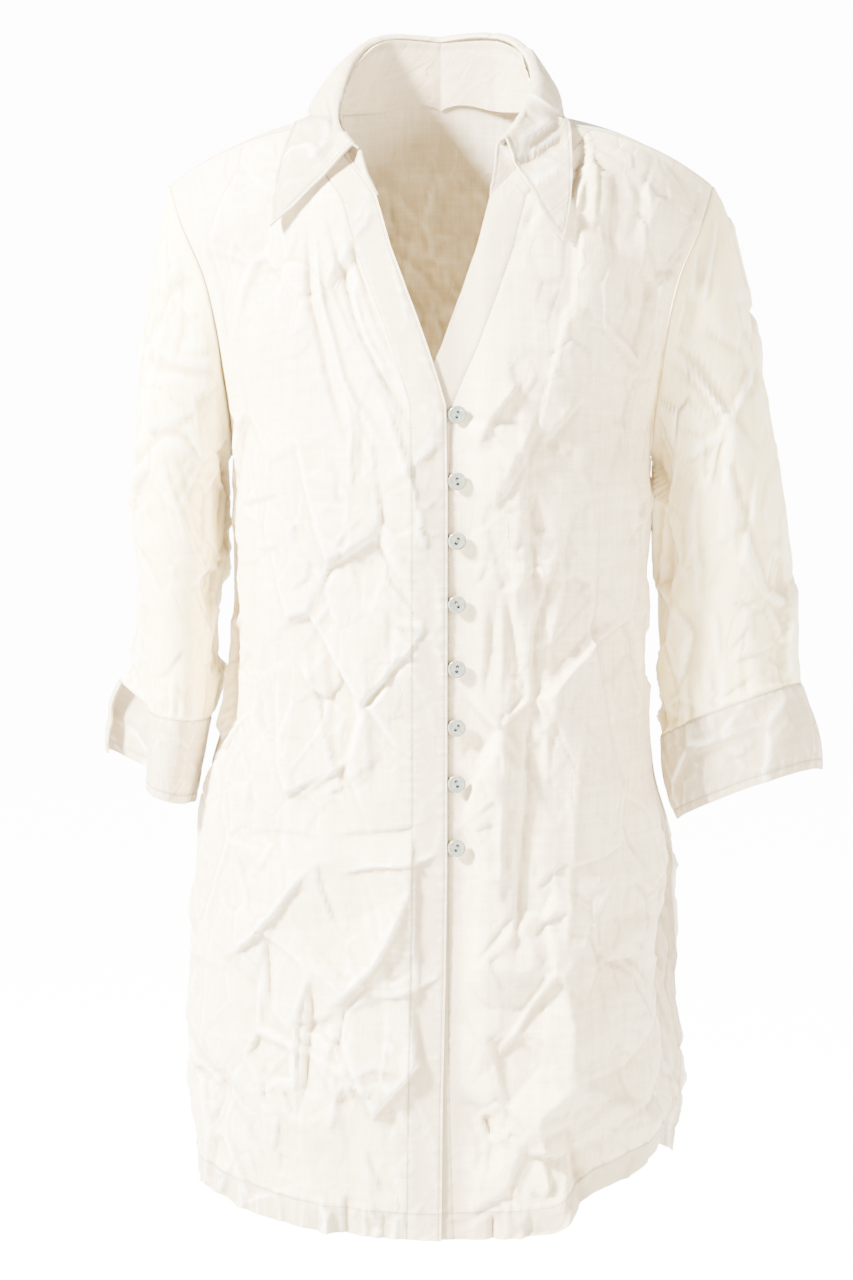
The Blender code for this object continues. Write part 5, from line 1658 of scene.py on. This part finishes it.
def stitchTree():
    # one small stitch at each pitch of a line, laid along it on the cloth
    tree, ins, outs = geometryTree("stitchRow", stitch)
    even = evenCurve(tree, ins.outputs["Geometry"], ins.outputs["Pitch"])
    bead = addNode(tree, "GeometryNodeMeshUVSphere", {"Segments": 6, "Rings": 4, "Radius": 0.5})
    tangent = addNode(tree, "GeometryNodeInputTangent").outputs[0]
    named = {"Name": "faceNormal"}
    facing = addNode(tree, "GeometryNodeInputNamedAttribute", named, data_type="FLOAT_VECTOR")
    along = addNode(tree, "FunctionNodeAlignRotationToVector", {"Vector": tangent}, axis="X").outputs[0]
    turned = {"Rotation": along, "Vector": facing.outputs["Attribute"]}
    upright = addNode(tree, "FunctionNodeAlignRotationToVector", turned, axis="Z", pivot_axis="X")
    width = ins.outputs["Width"]
    size = addNode(tree, "ShaderNodeCombineXYZ", {"X": ins.outputs["Length"], "Y": width, "Z": width})
    laid = {"Points": even, "Instance": bead.outputs["Mesh"], "Rotation": upright.outputs[0]}
    place = addNode(tree, "GeometryNodeInstanceOnPoints", {**laid, "Scale": size.outputs[0]})
    return finishTree(tree, ins, outs, place.outputs["Instances"])


def cordTree():
    # two strands twisted round a line
    tree, ins, outs = geometryTree("twistedCord", twist)
    even = evenCurve(tree, ins.outputs["Geometry"], twistStep)
    where = addNode(tree, "GeometryNodeSplineParameter").outputs["Length"]
    turn = maths(tree, "MULTIPLY", maths(tree, "DIVIDE", where, ins.outputs["Twist"]), 2 * math.pi)
    tangent = addNode(tree, "GeometryNodeInputTangent").outputs[0]
    normal = addNode(tree, "GeometryNodeInputNormal").outputs[0]
    aside = vectors(tree, "CROSS_PRODUCT", tangent, normal)
    both = addNode(tree, "GeometryNodeJoinGeometry")
    for phase in (0.0, math.pi):
        angle = maths(tree, "ADD", turn, phase)
        parts = []
        for operation, way in (("COSINE", normal), ("SINE", aside)):
            reach = maths(tree, "MULTIPLY", maths(tree, operation, angle), ins.outputs["Apart"])
            parts.append(scaledBy(tree, way, reach))
        placed = {"Geometry": even, "Offset": vectors(tree, "ADD", *parts)}
        moved = addNode(tree, "GeometryNodeSetPosition", placed)
        strandShape = {"Resolution": 6, "Radius": ins.outputs["Strand"]}
        circle = addNode(tree, "GeometryNodeCurvePrimitiveCircle", strandShape)
        outline = {"Profile Curve": circle.outputs["Curve"], "Fill Caps": True}
        swept = {"Curve": moved.outputs["Geometry"], **outline}
        feed(tree, both.inputs[0], addNode(tree, "GeometryNodeCurveToMesh", swept).outputs["Mesh"])
    return finishTree(tree, ins, outs, both.outputs[0])


def growAlong(made, tree, paint, **sizes):
    # runs a tree on an object with its own sizes, and keeps the result as a plain mesh
    grown = made.modifiers.new("grown", "NODES")
    grown.node_group = tree
    chosen = dict(sizes, Paint=paint)
    for item in tree.interface.items_tree:
        if item.item_type == "SOCKET" and item.in_out == "INPUT" and item.name in chosen:
            grown[item.identifier] = chosen[item.name]
    made.data.materials.append(paint)
    applyAll(made)
    made.data.shade_smooth()
    return made


def changedRound(panel, way=slice(None)):
    # a panel's points and normals with rows and columns changed round
    return {key: panel[key].transpose(1, 0, 2)[way] for key in ("points", "normals")}


def rowLine(panel, distances, away, rows=slice(None), rise=0.12):
    # the line at one distance along each row of a panel, just proud of its cloth
    points, normals, lengths = panel["points"][rows], panel["normals"][rows], distances[rows]
    if lengths[0, 0] > lengths[0, -1]:
        points, normals, lengths = points[:, ::-1], normals[:, ::-1], lengths[:, ::-1]
    found, facing = [], []
    for row, normal, distance in zip(points, normals, lengths):
        if distance[0] <= away <= distance[-1]:
            found.append([np.interp(away, distance, row[:, axis]) for axis in range(3)])
            facing.append([np.interp(away, distance, normal[:, axis]) for axis in range(3)])
    facing = np.array(facing)
    return np.array(found) + facing * rise, facing


def columnLine(panel, distances, away, columns=slice(None)):
    # the same down each column
    return rowLine(changedRound(panel, columns), distances.T[columns], away)


def addStitching(panels, tree, paint):
    frontRight, frontLeft, halves, cuffPieces, fall = panels
    fromEdge, facing = frontRight["fromEdge"], frontShape["facingStitch"]
    paths = [rowLine(frontRight, fromEdge, away) for away in (frontShape["edgeStitch"], facing)]
    paths.append(rowLine(frontLeft, frontLeft["fromEdge"], facing))
    for panel in (frontRight, frontLeft, *halves):
        paths.append(columnLine(panel, panel["fromHem"], frontShape["hemStitch"]))
    for cuff in cuffPieces:
        paths.append(columnLine(cuff, cuff["fromTop"], cuffs["seamStitch"]))
        paths.append(columnLine(cuff, cuff["fromEdge"], cuffs["edgeStitch"]))
    paths.append(columnLine(fall, fall["fromEdge"], collar["edgeStitch"], slice(2, -2)))
    around = fall["around"]
    for ends in (around, around[:, -1:] - around):
        paths.append(rowLine(fall, ends, collar["edgeStitch"], slice(8, len(ends) - 2)))
    return growAlong(lineObject("stitching", paths), tree, paint)


loops = {
    "halfWidth": 1.9,
    "reach": 9.5,
    "straight": 3.0,
    "root": 0.8,
    "points": 9,
}


def addLoops(tree, paint):
    made = []
    for number in range(1, buttons["count"] + 1):
        low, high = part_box(f"loop_{number}")
        y, z = (low[1] + high[1]) / 2 / mm, (low[2] + high[2]) / 2 / mm
        start, half = low[0] / mm, loops["halfWidth"]
        bend = start + loops["reach"] - half
        path = [(start, y, z + half * loops["root"]), (start + loops["straight"], y, z + half)]
        for turn in np.radians(np.linspace(90, -90, loops["points"])):
            path.append((bend + half * math.cos(turn), y, z + half * math.sin(turn)))
        path += [(start + loops["straight"], y, z - half), (start, y, z - half * loops["root"])]
        loop = lineObject(f"cord_loop_{number}", [(path, [(0, -1, 0)] * len(path))])
        growAlong(loop, tree, paint)
        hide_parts(f"loop_{number}")
        made.append(loop)
    return made


def addButtonThreads(places, tree, paint):
    # two strands between the two holes of each button
    paths = []
    for _, place in places:
        for aside in buttons["threadAside"]:
            line = []
            for share in np.linspace(-1, 1, buttons["threadPoints"]):
                depth = buttons["threadDepth"] + buttons["threadDip"] * share**4
                spot = Vector((aside * mm, depth * mm, share * buttons["apart"] * mm))
                line.append(np.array(place @ spot) / mm)
            paths.append((line, [(0, -1, 0)] * len(line)))
    sizes = {"Apart": buttons["threadApart"] * mm, "Strand": buttons["threadStrand"] * mm}
    return growAlong(lineObject("button_threads", paths), tree, paint, **sizes)


# The floor and the studio, in metres and watts.
floorShape = {"half": 90, "height": -1.3, "white": (0.9, 0.9, 0.9), "roughness": 0.9, "specular": 0.1}
# the floor's painted glow rises from none to its full strength as it runs behind the blouse
floorGlow = {"From Min": 0.2, "From Max": 1.1, "To Min": 0.0, "To Max": 13.0}
studio = {
    "air": (1.0, 0.965, 0.9),
    "airStrength": 0.6,
    "lights": (
        ("key", (-1.75, -1.05, 1.1), (0, 0, -0.15), 0.42, 880, (1.0, 0.985, 0.95)),
        ("fill", (2.6, -2.8, 0.5), (0, 0, -0.4), 1.6, 365, (1.0, 0.94, 0.84)),
    ),
}
view = {"place": (-0.0107, -2.9, 0.15), "down": 10.3, "lens": 112.05, "sensor": 36}


def addStage():
    # a flat pale floor that glows behind the blouse, a painted light that makes the backdrop white and lights
    # the blouse from behind
    half, height = floorShape["half"], floorShape["height"]
    corners = [(x * half, y * half, height) for x, y in ((-1, -1), (1, -1), (1, 1), (-1, 1))]
    mesh = bpy.data.meshes.new("floor")
    mesh.from_pydata(corners, [], [(0, 1, 2, 3)])
    floor = placeObject("floor", mesh)
    glow = {"Specular_IOR_Level": floorShape["specular"], "Emission_Color": (1, 1, 1, 1)}
    paint = plainMaterial("floor_white", floorShape["white"], floorShape["roughness"], **glow)
    tree = paint.node_tree
    place = addNode(tree, "ShaderNodeTexCoord").outputs["Object"]
    split = addNode(tree, "ShaderNodeSeparateXYZ", {0: place})
    shades = {"Value": split.outputs["Y"], **floorGlow}
    ramp = addNode(tree, "ShaderNodeMapRange", shades, interpolation_type="SMOOTHSTEP")
    feed(tree, tree.nodes["Principled BSDF"].inputs["Emission Strength"], ramp.outputs[0])
    mesh.materials.append(paint)


def addLight(name, place, target, size, watts, colour):
    lamp = bpy.data.lights.new(name, "AREA")
    lamp.shape = "DISK"
    lamp.size = size
    lamp.energy = watts
    lamp.color = colour
    made = placeObject(name, lamp)
    made.location = place
    made.rotation_euler = (Vector(target) - Vector(place)).to_track_quat("-Z", "Y").to_euler()


def addStudio():
    world = bpy.data.worlds.new("studio")
    world.use_nodes = True
    air = world.node_tree.nodes["Background"]
    air.inputs["Color"].default_value = (*studio["air"], 1)
    air.inputs["Strength"].default_value = studio["airStrength"]
    bpy.context.scene.world = world
    for light in studio["lights"]:
        addLight(*light)


def addCamera():
    lens = bpy.data.cameras.new("camera")
    lens.sensor_width = view["sensor"]
    lens.lens = view["lens"]
    camera = placeObject("camera", lens)
    camera.location = view["place"]
    camera.rotation_euler = (math.radians(90 - view["down"]), 0, 0)
    bpy.context.scene.camera = camera


def declare(piece, nodes):
    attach(piece, "root")
    if nodes:
        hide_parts(*nodes)


def addCloth(node, sheets, flips, paint, slot, flat, area=None, closed=False, wall=cloth["wall"]):
    piece = addSheet(f"cloth_{node}", sheets, closed, flips, wall, paint)
    declare(piece, [node])


groups = {"weave": linenWeaveGroup(), "crinkle": crinkleGroup()}
linen, backLinen, sleeveLinenPaintedLight, shadedDoubledLinen = [linenMaterial(name, groups) for name in linenLooks]
shell = shellMaterial()
thread = plainMaterial("thread", (0.27, 0.24, 0.185), 0.6, Sheen_Weight=0.1)
print("materials ready")

frontRight, frontLeft = dressFront(right), dressFront(left)
print("fronts creased")
backHalves = dressBack()
print("back creased")
bases = [panel["base"] for panel in (frontRight, frontLeft, *backHalves)]
torsoTree = treeOf([(base, False, flip) for base, flip in zip(bases, (True, False, False, True))])
sleevePieces = {side: dressSleeve(side, torsoTree) for side in (right, left)}
cuffPieces = {side: dressCuff(side) for side in (right, left)}
print("sleeves and cuffs shaped")
necks = {right: neckline(frontRight, backHalves[0]), left: neckline(frontLeft, backHalves[1])}
stand, fall = dressCollar(necks, torsoTree)
print("collar shaped")

addCloth("right_front", [frontRight], [True], linen, "linen", (0.25, 0.83), 0.175)
addCloth("left_front", [frontLeft], [False], linen, "linen", (0.25, 0.83), 0.175)
addCloth("back", backHalves, [False, True], backLinen, "linen", (0.5, 0.83), 0.35)
# the doubled pieces take the linen painted darker as a painted shade
doubledCloth = {"paint": shadedDoubledLinen, "slot": "doubled_linen", "wall": cloth["doubledWall"]}
for side, name in ((right, "right"), (left, "left")):
    sleeve, cuff, flips = [sleevePieces[side]], [cuffPieces[side]], [side == right]
    addCloth(f"{name}_sleeve", sleeve, flips, sleeveLinenPaintedLight, "linen", (0.35, 0.38), 0.105, closed=True)
    addCloth(f"{name}_cuff", cuff, flips, flat=(0.28, 0.065), **doubledCloth)
addCloth("collar_stand", [stand], [True], flat=(0.46, 0.035), **doubledCloth)
addCloth("collar_fall", [fall], [False], flat=(0.5, 0.06), **doubledCloth)
print("cloth built")

stitches, cord = stitchTree(), cordTree()
# the walls of the button holes get a near-black painted shade
placed = addButtons(shell, plainMaterial("shell_hole_painted_shade", (0.02, 0.017, 0.014), 0.8))
for number, (button, _) in enumerate(placed, start=1):
    declare(button, [f"button_{number}"])
for loop in addLoops(cord, thread):
    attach(loop, "root")
declare(addButtonThreads(placed, cord, thread), [])
sewing = addStitching((frontRight, frontLeft, backHalves, cuffPieces.values(), fall), stitches, thread)
declare(sewing, [])
print("buttons, loops and stitching made")

addStage()
addStudio()
addCamera()
